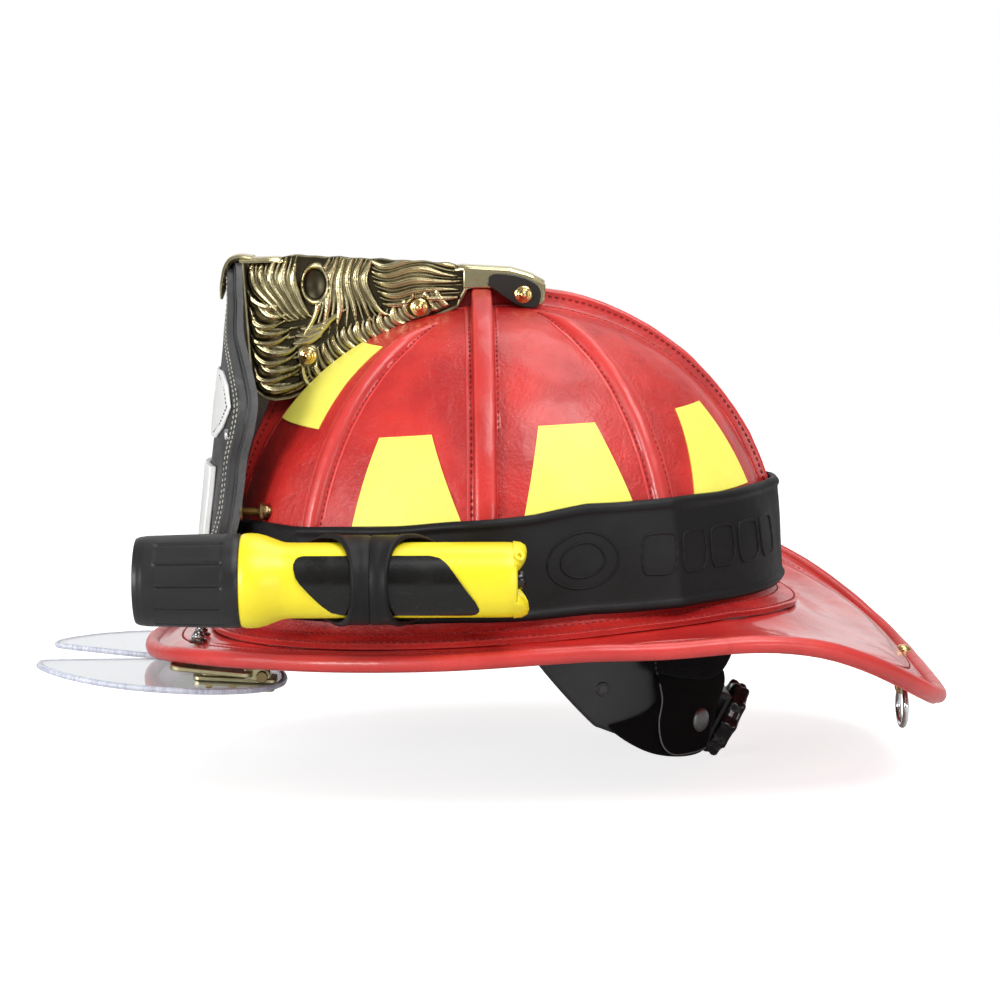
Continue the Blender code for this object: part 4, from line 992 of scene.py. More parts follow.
def holder_cheek(side, sign):
    """One side plate: a plain border round a field of flowing strands."""
    top, low = np.array(HOLDER_TOP), np.array(HOLDER_LOW)
    columns, rows = 330, 190
    x = np.linspace(-117, -15.5, columns)
    share = np.linspace(0, 1, rows)
    open_top = between(x, -106, 8, -19, 5)
    waves = 1.0 + 0.35 * np.sin(x / 2.1) * np.sin(x / 7.0)
    z_top = np.interp(x, top[:, 0], top[:, 1]) + open_top * waves
    z_low = np.interp(x, low[:, 0], low[:, 1])
    grid_z = z_low + (z_top - z_low) * share[:, None]
    lean = 4.6 * np.clip((grid_z - 50) / 63, 0, 1) * np.clip((-95 - x) / 22, 0, 1)
    grid_x = x - lean
    slope = np.gradient(z_low, x)
    left = np.broadcast_to(x, grid_z.shape) + 117.0
    edge = np.minimum((grid_z - z_low) / np.hypot(1, slope), z_top - grid_z + 6 * open_top)
    edge = np.minimum(edge, np.minimum(left, -15.6 - grid_x))
    relief = cast_relief(grid_x, grid_z) * np.clip((edge - 1.8) / 1.6, 0, 1)
    border = np.clip(1 - np.abs(edge - 0.6) / 1.5, 0, 1)
    border = border * border * (3 - 2 * border)
    for bolt_x, bolt_z in HOLDER_BOLTS:
        boss = np.clip((6.0 - np.hypot(grid_x - bolt_x, grid_z - bolt_z)) / 1.6, 0, 1)
        relief = relief * (1 - boss) + 0.35 * boss
    swell = 0.9 * np.clip(edge / 14, 0, 1)
    y = sign * (10.3 + swell + 3.0 * relief + 0.45 * border)
    front = xyz(grid_x, y, grid_z)
    back = xyz(grid_x, sign * 8.2, grid_z)
    obj = slab("holder_cheek_" + side, front, back, "brass", sharp=85)
    values = np.concatenate([np.maximum(relief, 0.55 * border).ravel(), np.zeros(relief.size)])
    relief_values(obj, metres(np.concatenate([front.reshape(-1, 3), back.reshape(-1, 3)])), values)


def relief_values(obj, points, values):
    """Store how far each vertex stands proud, for the finish's dark recesses."""
    layer = obj.data.attributes.new("relief", "FLOAT", "POINT")
    if len(obj.data.vertices) == len(values):
        layer.data.foreach_set("value", values.astype(np.float32))
        return
    lookup = {tuple(np.round(p, 6)): v for p, v in zip(points, values)}
    got = [lookup.get(tuple(np.round(np.array(v.co), 6)), 0.8) for v in obj.data.vertices]
    layer.data.foreach_set("value", np.array(got, np.float32))


def even_relief(obj, value=0.8):
    layer = obj.data.attributes.new("relief", "FLOAT", "POINT")
    layer.data.foreach_set("value", np.full(len(obj.data.vertices), value, np.float32))


COVER_ARCH = [(-13.2, -1.7), (-13.3, -0.7), (-12.0, 0.35), (-9.5, 0.8), (0, 1.0), (9.5, 0.8),
              (12.0, 0.35), (13.3, -0.7), (13.2, -1.7), (11.6, -1.9), (0, -1.7), (-11.6, -1.9)]
TAIL_CHEEK = [(-17.5, 101.0), (-15.0, 101.0), (-2.6, 101.2), (1.0, 100.6), (6, 98.0), (13, 95.6),
              (19.4, 93.0), (20.6, 96.0), (21.0, 103.0), (14, 106.6), (5, 109.2), (-17.5, 110.6)]
TAIL_RECESS = [(-6.4, 102.8), (-5.6, 106.2), (-2.0, 107.9), (7.5, 107.0), (14.8, 104.4), (18.4, 100.2),
               (18.4, 95.4), (16.0, 92.0), (9.0, 92.8), (2.6, 96.4), (-3.2, 100.6)]
HOOK = [(-116, 114.6), (-121.5, 115.2), (-125.6, 113.9), (-128.2, 110.2), (-129.6, 105.0),
        (-130.6, 99.5), (-131.2, 95.8)]


def holder_cover():
    """A rounded strip along the top, lower and narrower over the cast relief."""
    top = np.array(HOLDER_TOP)
    x = np.concatenate([np.linspace(-121.5, -16, 50), np.linspace(-14, 20.5, 30)])
    z = np.interp(x, top[:, 0], top[:, 1]) - 1.7 * between(x, -104, 7, -19, 5)
    narrow = 1 - 0.19 * between(x, -106, 5, -17, 4)
    rings = [[(a, y * n, b + dz) for y, dz in COVER_ARCH] for a, b, n in zip(x, z, narrow)]
    even_relief(loft("holder_cover", np.array(rings), "brass", replaces=["front_holder"], sharp=60))


def holder_tail(side, sign):
    """A smooth tail plate round a dark recess."""
    def beside(u, v, w, reach):
        return (u, sign * (reach + w), v)
    even_relief(outline_plate("holder_tail_" + side, TAIL_CHEEK, partial(beside, reach=11.9), 2.4,
                              "brass", bevel=0.6))
    recess = smooth_profile(TAIL_RECESS + TAIL_RECESS[:1], 6)[:-1]
    outline_plate("holder_recess_" + side, recess.tolist(), partial(beside, reach=13.2), 0.9, "patina",
                  bevel=0.4)


def holder_hook():
    """The hook over the front piece, tapering to its tip."""
    hook = smooth_profile(HOOK, 6)
    share = np.linspace(0, 1, len(hook))
    wide = np.interp(share, (0, 0.35, 0.75, 1), (13.3, 12.2, 9.0, 2.6))
    thick = np.interp(share, (0, 0.35, 0.75, 1), (4.2, 4.6, 3.2, 1.2))
    path = xyz(hook[:, 0], 0.0, hook[:, 1])
    _, across, _ = path_frames(path, up=(0, 1, 0))
    section = [(0.0, 1.15), (0.6, 0.95), (0.92, 0.5), (1.0, 0.0), (0.92, -0.5), (0.6, -0.8), (0.0, -0.9)]
    section += [(-a, b) for a, b in reversed(section[1:-1])]
    rings = [[p + np.array([0, a * w, 0]) + n * (b * t / 2) for a, b in section]
             for p, n, w, t in zip(path, across, wide, thick)]
    even_relief(loft("holder_hook", np.array(rings), "brass", sharp=60))


def front_holder():
    for side, sign in SIDES.items():
        holder_cheek(side, sign)
    holder_cover()
    for side, sign in SIDES.items():
        holder_tail(side, sign)
    holder_hook()
    for i, (x, z) in enumerate(HOLDER_BOLTS):
        for side, sign in SIDES.items():
            acorn_nut("holder_nut_{}_{}".format(i + 1, side), (x, sign * 14.2, z), (0, sign, 0),
                      replaces=["holder_bolt_{}".format(i + 1)] if side == "left" else ())


def acorn_nut(name, place, axis, size=1.0, finish="bright_brass", replaces=(), body="helmet"):
    """A washer, a hexagon and a dome."""
    def hexagon(radius, along, angle):
        flat = np.cos(np.mod(angle, math.pi / 3) - math.pi / 6)
        off = np.abs(along / size - 1.3)
        share = np.clip((1.05 - off) / 0.35, 0, 1)
        return np.where(off < 1.06, radius * (0.80 / flat - 0.86) * share, 0 * radius)
    profile = [(0, -1.2), (3.9, -1.2), (4.0, 0.0), (3.5, 0.3), (2.85, 0.45), (2.95, 1.0), (2.95, 1.9),
               (2.7, 2.3), (2.1, 2.5), (2.0, 3.0), (1.6, 3.7), (0.9, 4.15), (0, 4.3)]
    profile = [(r * size, z * size) for r, z in profile]
    revolve(name, profile, place, axis, finish, steps=48, wave=hexagon, replaces=replaces, body=body,
            sharp=35)


# ---------------------------------------------------------------- leather front piece

SHIELD_BEND = 109.0
LEATHER = 3.0
SHIELD_ROWS = [(113, 10), (110, 17), (104, 20), (97, 22.5), (83, 31), (69.5, 45.5), (58, 56), (50, 60),
               (38, 59), (26, 54.5), (10, 53), (-4, 52), (-16, 46), (-28, 33), (-36, 15), (-39, 6)]


def shield_front(z):
    return np.interp(z, (-39, -4, 24, 48, 67, 81, 95, 113),
                     (-142.6, -139.0, -136.2, -133.3, -131.3, -130, -128.1, -128))


def inset_rows(rows, margin):
    top, bottom = rows[0][0], rows[-1][0]
    middle = (top + bottom) / 2
    squeeze = 1 - 2 * margin / (top - bottom)
    return [(middle + (z - middle) * squeeze, max(half - margin, 2.0)) for z, half in rows]


def shield_point(y, z, back=0.0):
    ripples = 0.35 * np.sin(z / 9.0) * np.clip(np.abs(y) / 45, 0, 1)
    return xyz(shield_front(z) + y * y / (2 * SHIELD_BEND) + back + ripples, y, z)


def bent_sheet(name, rows, back, thick, finish, replaces=(), bevel=0.5, smooth=True):
    """A leather layer with a half width for each height, bent about a vertical axis."""
    rows = smooth_profile(rows, 6) if smooth else np.asarray(rows, float)
    u = np.linspace(-1, 1, 49)
    z = np.broadcast_to(rows[:, :1], (len(rows), 49))
    y = rows[:, 1:] * u
    front = shield_point(y, z, back - thick)
    front[..., 0] += 0.12 * ripple(front, 14, 71)
    return slab(name, front, shield_point(y, z, back), finish, bevel=bevel, replaces=replaces)


def shield_edge_path(rows, inside, back, count=7):
    rows = smooth_profile(inset_rows(rows, inside), count)
    right = shield_point(rows[:, 1], rows[:, 0], back)
    left = shield_point(-rows[::-1, 1], rows[::-1, 0], back)
    path = np.concatenate([right, left])
    y = path[:, 1]
    return path, unit(xyz(-1.0 + 0 * y, y / SHIELD_BEND, 0 * y))


def front_piece():
    back = 2 * LEATHER + 0.9
    bent_sheet("shield_back_layer", SHIELD_ROWS, back, LEATHER, "cut_edge", ["shield_backing"])
    bent_sheet("shield_middle_layer", inset_rows(SHIELD_ROWS, 1.2), LEATHER + 0.85, 0.8, "black_leather")
    bent_sheet("shield_face_layer", inset_rows(SHIELD_ROWS, 2.5), LEATHER, LEATHER, "black_leather",
               ["shield_face"], bevel=0.8)
    for inside, name in ((5.2, "outer"), (8.4, "inner")):
        path, out = shield_edge_path(SHIELD_ROWS, inside, 0.0)
        stitches("shield_stitches_" + name, path, out, "cream_thread", pitch=2.6, length=1.9,
                 radius=0.38, closed=True)
    panel = [(64, 30), (58, 42), (48.5, 49), (39, 42), (33, 30)]
    bent_sheet("name_panel_leather", panel, -0.2, 1.5, "white", ["shield_name_panel"], smooth=False)
    path, out = shield_edge_path(panel, 2.4, -1.75, 1)
    stitches("name_panel_stitches", path, out, "black_thread", pitch=2.4, length=1.7, radius=0.3,
             closed=True)
    for i, (low, high) in enumerate(((-33, -14), (-9, 9), (14, 33))):
        u = np.linspace(low, high, 19)
        z = np.linspace(20, -17, 30)
        y, z = np.meshgrid(u, z)
        slab("number_block_{}".format(i + 1), shield_point(y, z, -3.2), shield_point(y, z, -0.1),
             "white", bevel=0.6, replaces=["shield_number_bars"] if i == 0 else ())
    for side, sign in SIDES.items():
        spot = shield_point(np.array(sign * 46.0), np.array(36.0), -0.2)
        revolve("shield_rivet_" + side, [(0, -1), (2.6, -1), (2.6, 0.2), (2.2, 0.7), (1.2, 1.0), (0, 1.1)],
                spot, (-1, 0, 0), "chrome", steps=24)
        bolt_with_nuts(side, sign)


def bolt_with_nuts(side, sign):
    """Threaded standoff that holds the front piece off the crown."""
    at = np.array([-120.5, sign * 49.0, 1.0])
    thread_rows = [(0, -0.2)]
    for i in range(30):
        thread_rows += [(1.75, 0.45 * i), (2.05, 0.45 * i + 0.22)]
    thread_rows.append((0, 13.6))
    revolve("standoff_thread_" + side, thread_rows, at, (1, 0, 0), "dark_brass", steps=20)
    acorn_nut("standoff_nut_" + side, at + (11.5, 0, 0), (1, 0, 0), 1.05, "dark_brass",
              replaces=["shield_standoff_" + side])
    revolve("standoff_washer_" + side, [(0, 0), (4.3, 0), (4.3, 1.0), (0, 1.0)], at + (1.2, 0, 0),
            (1, 0, 0), "dark_brass", steps=28)


# ---------------------------------------------------------------- rubber band

def band_limits(x):
    """Heights of the band's lower and upper edge."""
    stations = (-130, -75, -20, 14, 40, 131)
    return (np.interp(x, stations, (-43, -42, -39.5, -38, -36, -34.8)),
            np.interp(x, stations, (-7, -2.5, 2, 5, 9, 10.5)))


def proud(points, height):
    """Points moved out in plan until they stand this high above the leather."""
    normal = crown_normal(points) * (1, 1, 0)
    return points + unit(normal) * ((height + 0.9) / np.linalg.norm(normal, axis=-1, keepdims=True))


def band_hull(z):
    """Plan points of what the band is stretched over at one height."""
    angle = np.linspace(0, 2 * math.pi, 96, endpoint=False)
    points = [proud(crown_section(angle, np.full(96, z)), 0.0)]
    for a, kind in ((0.0, "rear"), (math.pi, "front")):
        tip = proud(crown_section(np.array([a]), np.array([z])), comb_height(kind, z) + 0.2)
        points += [tip + (0, 6.5, 0), tip - (0, 6.5, 0)]
    for sign in (-1, 1):
        half = CROWN_AY * math.sqrt(crown_scale(z) ** 2 - ((SIDE_COMB_X - CROWN_X) / CROWN_AX) ** 2)
        tip = proud(np.array([[SIDE_COMB_X, sign * half, z]]), comb_height("left", z) + 0.6)
        tip[:, 0] = SIDE_COMB_X
        points += [tip + (6.5, 0, 0), tip - (6.5, 0, 0)]
        for degrees in RIB_ANGLES.values():
            a = np.array([math.radians(degrees) * sign])
            points.append(proud(crown_section(a, np.array([z])), 5.2))
    plan = np.concatenate(points)[:, :2] - (CROWN_X, 0)
    order = sorted(map(tuple, plan))
    chains = []
    for sequence in (order, order[::-1]):
        chain = []
        for p in sequence:
            while len(chain) > 1 and ((chain[-1][0] - chain[-2][0]) * (p[1] - chain[-2][1])
                                      - (chain[-1][1] - chain[-2][1]) * (p[0] - chain[-2][0])) <= 0:
                chain.pop()
            chain.append(p)
        chains += chain[:-1]
    return np.array(chains)


BAND_STEP = 4.0
BAND_LEVELS = np.arange(-46.0, 15.0, BAND_STEP)


def band_table():
    """Plan radius of the stretched band by height and angle, softened at the corners."""
    angle = np.radians(np.arange(0, 360, 1.0))
    ray = np.stack([np.cos(angle), np.sin(angle)], axis=1)
    rows = []
    for z in BAND_LEVELS:
        hull = band_hull(float(z))
        ahead = np.roll(hull, -1, 0) - hull
        det = ray[:, :1] * ahead[:, 1] - ray[:, 1:] * ahead[:, 0]
        det = np.where(np.abs(det) < 1e-9, 1e-9, det)
        reach = (hull[:, 0] * ahead[:, 1] - hull[:, 1] * ahead[:, 0]) / det
        along = (hull[:, 0] * ray[:, 1:] - hull[:, 1] * ray[:, :1]) / det
        reach = np.where((along > -1e-6) & (along < 1 + 1e-6) & (reach > 0), reach, 0)
        radius = reach.max(1)
        soft = radius.copy()
        for shift in range(-3, 4):
            soft = np.maximum(soft, 0) + (np.roll(radius, shift) - radius) / 9
        rows.append(np.maximum(soft, radius - 0.3))
    return np.array(rows)


BAND_RADII = band_table()


def band_radius(angle, z):
    """Plan radius of the stretched band, read between the table's heights and angles."""
    angle, z = np.broadcast_arrays(np.asarray(angle, float), np.asarray(z, float))
    a = np.degrees(angle) % 360
    i = np.floor(a).astype(int) % 360
    t = a - np.floor(a)
    level = np.clip((z - BAND_LEVELS[0]) / BAND_STEP, 0, len(BAND_LEVELS) - 1.001)
    k = np.floor(level).astype(int)
    s = level - k
    low = BAND_RADII[k, i] * (1 - t) + BAND_RADII[k, (i + 1) % 360] * t
    high = BAND_RADII[k + 1, i] * (1 - t) + BAND_RADII[k + 1, (i + 1) % 360] * t
    return low * (1 - s) + high * s


def band_point(angle, share, grow):
    """A point of the band by plan angle, height share (0 low, 1 high) and distance out."""
    angle, share, grow = np.broadcast_arrays(angle, share, grow)
    x = CROWN_X + 118 * np.cos(angle)
    low, high = band_limits(x)
    z = low + (high - low) * share
    sag = 0.9 * np.sin(math.pi * np.clip(share, 0, 1)) * (0.5 + 0.5 * np.cos(angle * 8))
    radius = band_radius(angle, z) + grow - sag
    return xyz(CROWN_X + radius * np.cos(angle), radius * np.sin(angle), z)


BAND_SECTION = [(0.0, 0.2), (0.25, 0.2), (0.5, 0.2), (0.75, 0.2), (1.0, 0.2), (1.03, 0.9), (1.035, 1.8),
                (1.03, 2.9), (1.0, 3.7), (0.972, 3.75), (0.948, 3.2), (0.935, 2.75), (0.90, 2.6),
                (0.8, 2.6), (0.65, 2.6), (0.5, 2.6), (0.35, 2.6), (0.2, 2.6), (0.10, 2.6), (0.065, 2.75),
                (0.052, 3.2), (0.028, 3.75), (0.0, 3.7), (-0.03, 2.9), (-0.035, 1.8), (-0.03, 0.9)]


def rubber_band():
    angle = np.radians(np.arange(0, 360, 1.0))
    section = np.array(BAND_SECTION)
    grid = band_point(angle[:, None], section[:, 0][None], section[:, 1][None])
    grid[..., 2] += (0.35 * np.sin(angle * 7 + 1) + 0.2 * np.sin(angle * 13))[:, None]
    loft("band_rubber", grid, "rubber", wrap_rows=True, replaces=["helmet_band"], sharp=70)
    embossed_marks()
    light_loop()


def embossed_marks():
    """A plain moulded pattern: a lens-shaped ring and a row of slanted bars."""
    def line(name, points):
        path = band_point(np.radians(points[:, 0]), points[:, 1], 2.62)
        tube(name, resample(path, 1.2, True), 0.55, "rubber", closed=True, sides=8)
    turn = np.linspace(0, 2 * math.pi, 48, endpoint=False)
    corners = [(0.6, 0.32), (5.8, 0.32), (7.4, 0.40), (7.9, 0.62), (6.9, 0.70), (1.6, 0.70),
               (0.2, 0.60), (0, 0.40)]
    for side, start, spin in (("left", 287, 1), ("right", 73, -1)):
        for k, size in enumerate((1.0, 0.62)):
            ring = np.stack([start + spin * 8.5 * size * np.cos(turn),
                             0.5 + 0.27 * size * np.sin(turn)], axis=1)
            line("band_ring_{}_{}".format(k + 1, side), ring)
        for i in range(5):
            first = start + spin * (14 + 9.5 * i)
            bar = smooth_profile([(first + spin * a, b) for a, b in corners + corners[:1]], 5)[:-1]
            line("band_bar_{}_{}".format(i + 1, side), bar)


LOOP_X = -58.0


def light_loop():
    """The strap of the band that bridges over the light, waisted in front of it."""
    degrees = np.linspace(40, 320, 96)
    a = np.radians(degrees)
    away = np.abs(degrees - 180)
    half = 7.6 + 15.0 * np.clip(away / 118, 0, 1.15) ** 2.2
    reach = 18.6 + 2.2 * np.clip((away - 100) / 40, 0, 1)
    path = xyz(LOOP_X, LIGHT_Y + reach * np.cos(a), LIGHT_Z + 0.96 * reach * np.sin(a))
    out = xyz(0 * a, np.cos(a), np.sin(a))
    section = [(-1.0, -0.2), (-0.97, 0.9), (-0.90, 1.6), (-0.80, 1.55), (-0.72, 1.1), (-0.4, 1.0),
               (-0.06, 1.0), (0.0, 0.55), (0.06, 1.0), (0.4, 1.0), (0.72, 1.1), (0.80, 1.55), (0.90, 1.6),
               (0.97, 0.9), (1.0, -0.2), (0.5, -0.9), (-0.5, -0.9)]
    rings = [[p + np.array([u * h, 0, 0]) + o * v for u, v in section]
             for p, o, h in zip(path, out, half)]
    loft("band_light_loop", np.array(rings), "rubber", sharp=60)


# ---------------------------------------------------------------- light

def light_grooves(radius, along, angle):
    """Narrow grooves along the head, between faintly flattened staves."""
    step = 2 * math.pi / LIGHT_GROOVES
    off = (np.mod(angle + step / 2, step) - step / 2) * LIGHT_HEAD_R
    window = np.clip(np.minimum(along - 6.5, 35.5 - along) / 1.2, 0, 1)
    cut = -0.75 * np.exp(-(off / 0.62) ** 2) - 0.16 * (1 - np.cos(angle * LIGHT_GROOVES)) * 0.5
    return np.where(radius > 18.7, window * cut, 0 * cut)


def light_head():
    """The black bezel, hollow in front of its lens."""
    reach = LIGHT_JOIN - LIGHT_FRONT
    profile = [(17.4, 0.2), (19.4, 0.2), (19.9, 0.8), (19.9, 3.4)]
    profile += [(19.9 - 0.9 * ((z - 4) / 36) ** 1.5, z) for z in np.linspace(4.2, 39.5, 60)]
    profile += [(18.9, 40.4), (18.75, 40.9), (18.75, 41.6), (18.6, 42.4), (18.3, 43.2), (17.9, reach),
                (17.3, reach), (17.0, reach - 0.8), (17.0, reach - 3.4), (17.3, reach - 3.6),
                (17.3, 28.0), (16.4, 26.0), (16.4, 11.0), (17.4, 9.0)]
    revolve("light_bezel", profile, (LIGHT_JOIN, LIGHT_Y, LIGHT_Z), (-1, 0, 0), "black", steps=240,
            wave=light_grooves, body="light_head", replaces=["light_head"], sharp=45)


TAIL_CUT = 3.6                     # the barrel's rim stands this far in front of its guards


def squared(radius, along, angle):
    """Flattens the barrel's four sides a little behind its flare."""
    share = np.clip((along - 10) / 12, 0, 1) * (radius > 9)
    return share * 0.42 * np.cos(4 * angle + math.pi)


def light_body():
    """The flared yellow barrel with its guarded tail."""
    profile = [(17.0, -8.0), (17.0, -0.3), (18.9, -0.3), (19.5, 0.4), (19.9, 2.0), (20.0, 4.0),
               (19.8, 7.0), (19.0, 10.0), (17.8, 13.5), (16.7, 16.5), (16.25, 19.0), (16.2, 24.0)]
    length = LIGHT_TAIL - LIGHT_JOIN
    profile += [(16.2, z) for z in np.linspace(30, length - 9, 22)]
    end = length - TAIL_CUT
    profile += [(16.1, end - 2.4), (15.4, end - 0.6), (14.0, end), (9.0, end), (8.4, end - 0.4),
                (8.2, end - 4.3), (4.9, end - 4.3), (4.9, end - 7), (15.0, end - 7), (15.0, -8.0)]
    revolve("light_barrel", profile, (LIGHT_JOIN, LIGHT_Y, LIGHT_Z), (1, 0, 0), "yellow", steps=96,
            wave=squared, body="light", replaces=["light_body"], sharp=40)
    light_guard("upper", 28, 152, 4.2)
    light_guard("lower", 205, 332, 5.2)
    revolve("light_eyelet", [(0.9, 0), (2.1, 0), (2.3, 0.5), (2.1, 0.9), (1.2, 0.9), (0.9, 0.6)],
            (LIGHT_TAIL - TAIL_CUT + 0.6, LIGHT_Y - 11.2, LIGHT_Z + 11.6), (0.35, -0.75, 0.55),
            "yellow", steps=24, body="light")


def light_guard(name, first, last, reach):
    """A raised arc round the button, from one angle to another."""
    section = [(9.2, 0), (9.0, 0.6), (10.0, 0.95), (12.5, 1.0), (14.6, 0.9), (15.9, 0.55), (16.3, 0)]
    base = np.array([LIGHT_TAIL - TAIL_CUT - 1.5, LIGHT_Y, LIGHT_Z])
    rings = []
    for t in np.linspace(0, 1, 30):
        a = math.radians(first + (last - first) * t)
        end = min(1.0, max(0.0, math.sin(math.pi * t)) ** 0.45 + 0.02)
        out = np.array([0, -math.cos(a), math.sin(a)])
        rings.append([base + out * r + np.array([z * (reach + 1.5) * end, 0, 0]) for r, z in section]
                     + [base + out * 12.5 + np.array([-1.0, 0, 0])])
    loft("light_guard_" + name, np.array(rings), "yellow", body="light", sharp=50)


def light_button():
    button = [(0, 1.6), (2.6, 2.0), (3.6, 1.5), (4.0, 0.6), (4.2, -1.0), (4.2, -7), (0, -7)]
    revolve("light_button", button[::-1], (LIGHT_TAIL - 2.0, LIGHT_Y, LIGHT_Z), (1, 0, 0), "gloss_black",
            steps=32, body="light_switch", replaces=["light_switch"])
    for i in range(3):
        ring = [(r - 0.7 * i, z) for r, z in ((2.4, 0.0), (2.8, 0.25), (3.1, 0.0), (2.8, -0.3))]
        revolve("light_button_ring_{}".format(i + 1), ring, (LIGHT_TAIL + 0.05, LIGHT_Y, LIGHT_Z),
                (1, 0, 0), "black", steps=28, body="light_switch")


def light_label():
    """A plain black sleeve label on the barrel's outer side, cut on a slant."""
    x = np.linspace(-89.5, -12.5, 90)
    low = np.interp(x, (-89.5, -88.8, -87, -74, -69, -16, -13.6, -12.5),
                    (26, 14, 4, -46, -53, -55, -52, -44))
    high = np.interp(x, (-89.5, -88.7, -87.5, -85.5, -33, -29, -26, -14, -12.5),
                     (32, 40, 44, 46, 46, 42, 33, -26, -38))
    share = np.linspace(0, 1, 24)
    degrees = low[:, None] + (high - low)[:, None] * share
    a = np.radians(180 - degrees)
    outside, inside = (xyz(x[:, None], LIGHT_Y + r * np.cos(a), LIGHT_Z + r * np.sin(a))
                       for r in (LIGHT_R + 0.28, LIGHT_R - 0.3))
    slab("light_label_film", outside, inside, "label", body="light", replaces=["light_label"],
         bevel=0.1)


# ---------------------------------------------------------------- eye shields

PIN_X = -110.0
PIN_Z = -74.0
LENS_Y = 46.0
LENS_TILT = math.radians(3.0)
LENS_DROP = 5.0
LENS_EDGE = [(-106, 25), (-100, 19.5), (-50, 5.5), (-12, 6), (0, 10), (6.5, 20), (9, 34), (7.5, 48),
             (0, 60), (-14, 68), (-32, 71.5), (-52, 70), (-70, 64), (-86, 54), (-98, 42), (-105, 31)]


def on_lens(sign):
    """Maps plan points about a lens's pin, and heights over the sheet, into place."""
    c, s = math.cos(LENS_TILT), math.sin(LENS_TILT)

    def place(u, v, w):
        w = w - LENS_DROP + LENS_DROP * (1 - c)
        return (PIN_X + u * c + w * s, sign * v, PIN_Z - LENS_DROP - u * s + (w + LENS_DROP) * c)
    return place


def eye_shields():
    for side, sign in SIDES.items():
        body = "eyeshield_" + side
        edge = smooth_profile(LENS_EDGE + LENS_EDGE[:1], 9)[:-1]
        place = on_lens(sign)
        lens = outline_plate("lens_sheet_" + side, edge.tolist(), place, 2.5, "clear", bevel=0.35,
                             body=body, replaces=["eyeshield_lens_" + side])
        for poly in lens.data.polygons:
            poly.use_smooth = False
        rim = np.array([place(u, v, 0) for u, v in edge])
        tube("lens_edge_" + side, resample(rim, 2.0, True), 1.42, "lens_edge", closed=True, sides=8,
             body=body)
        hinge_clip(side, sign, place)
        bracket(side, sign)


def rounded_rectangle(x0, x1, y0, y1, r):
    points = []
    for cx, cy, first in ((x1 - r, y1 - r, 0), (x0 + r, y1 - r, 90), (x0 + r, y0 + r, 180),
                          (x1 - r, y0 + r, 270)):
        for a in np.radians(np.linspace(first, first + 90, 5)):
            points.append((cx + r * math.cos(a), cy + r * math.sin(a)))
    return points


def hinge_clip(side, sign, on_sheet):
    """Stacked brass plates that clamp the sheet, with the knuckle that turns on the pin."""
    body = "eyeshield_" + side
    y0 = LENS_Y
    plates = (("clip_plate", -32, 6.5, 7.5, 2.35, 1.9), ("clip_upper", -29, 3.0, 6.0, 3.9, 1.0),
              ("clip_lower", -31, 5.5, 7.0, -2.1, 1.2))
    for i, (name, x0, x1, half, lift, thick) in enumerate(plates):
        shape = rounded_rectangle(x0, x1, y0 - half, y0 + half, 3.4)
        plate = outline_plate("{}_{}".format(name, side), shape,
                              lambda u, v, w, z=lift: on_sheet(u, v, w + z), thick, "brass", bevel=0.35,
                              body=body, replaces=["eyeshield_clip_" + side] if i == 0 else ())
        even_relief(plate, 0.5)
    for u in (-25, -14):
        acorn_nut("clip_screw_{}_{}".format(abs(u), side), np.array(on_sheet(u, y0, 4.0)), (0, 0, 1),
                  0.6, body=body)
        acorn_nut("clip_nut_{}_{}".format(abs(u), side), np.array(on_sheet(u, y0, -2.7)), (0, 0, -1),
                  0.72, body=body)
    profile = [(1.7, 0), (3.2, 0), (3.6, 0.5), (3.6, 11.9), (3.2, 12.4), (1.7, 12.4)]
    even_relief(revolve("clip_knuckle_" + side, profile, (PIN_X, sign * y0 - 6.2, PIN_Z), (0, 1, 0),
                        "brass", body=body))


def bracket(side, sign):
    """The plate under the brim, its two ears round the pin, and the nuts over the brim."""
    y0 = LENS_Y
    centre = y0 - 8
    shape = rounded_rectangle(-19, 19, centre - 23, centre + 23, 5)
    tilt = math.radians(6)

    def on_bracket(u, v, w):
        return (-133 + u * math.cos(tilt) + w * math.sin(tilt), sign * v,
                -70.8 - u * math.sin(tilt) + w * math.cos(tilt))
    plate = outline_plate("bracket_plate_" + side, shape, on_bracket, 2.4, "brass", bevel=0.5,
                          replaces=["eyeshield_bracket_" + side])
    even_relief(plate, 0.45)
    ear = [(-8, 3.6), (-8, -1.2), (-4, -2.0), (0, -2.2), (2.2, -1.2), (3.0, 0.6), (2.4, 2.6),
           (0.8, 3.6)]
    for edge in (-1, 1):
        def beside_pin(u, v, w, y=sign * y0 + edge * 8.2):
            return (PIN_X + u, y + w, PIN_Z + v)
        plate = outline_plate("bracket_ear_{}_{}".format("ab"[edge > 0], side), ear, beside_pin, 2.8,
                              "brass", bevel=0.4)
        even_relief(plate, 0.45)
    pin = [(0, -11.2), (2.3, -11.2), (2.7, -10.6), (2.7, -9.9), (1.4, -9.7), (1.4, 9.7), (2.7, 9.9),
           (2.7, 10.6), (2.3, 11.2), (0, 11.2)]
    revolve("bracket_pin_" + side, pin, (PIN_X, sign * y0, PIN_Z), (0, 1, 0), "dark_brass", steps=24)
    for i, y in enumerate((30, 45)):
        at = np.array([-140.0, sign * y, -58.6])
        acorn_nut("bracket_nut_{}_{}".format(i + 1, side), at, (0, 0, 1), 1.05, "dark_steel")
        revolve("bracket_stud_{}_{}".format(i + 1, side), [(0, -12.5), (1.5, -12.5), (1.5, 0), (0, 0)],
                at, (0, 0, 1), "dark_brass", steps=16)


# ---------------------------------------------------------------- suspension

KNOB = np.array([100.0, 0.0, -102.0])
OUT = unit(np.array([0.89, 0.0, -0.456]))
UP = unit(np.array([0.456, 0.0, 0.89]))
NAPE_X = 109.0
NAPE_Y = 90.5


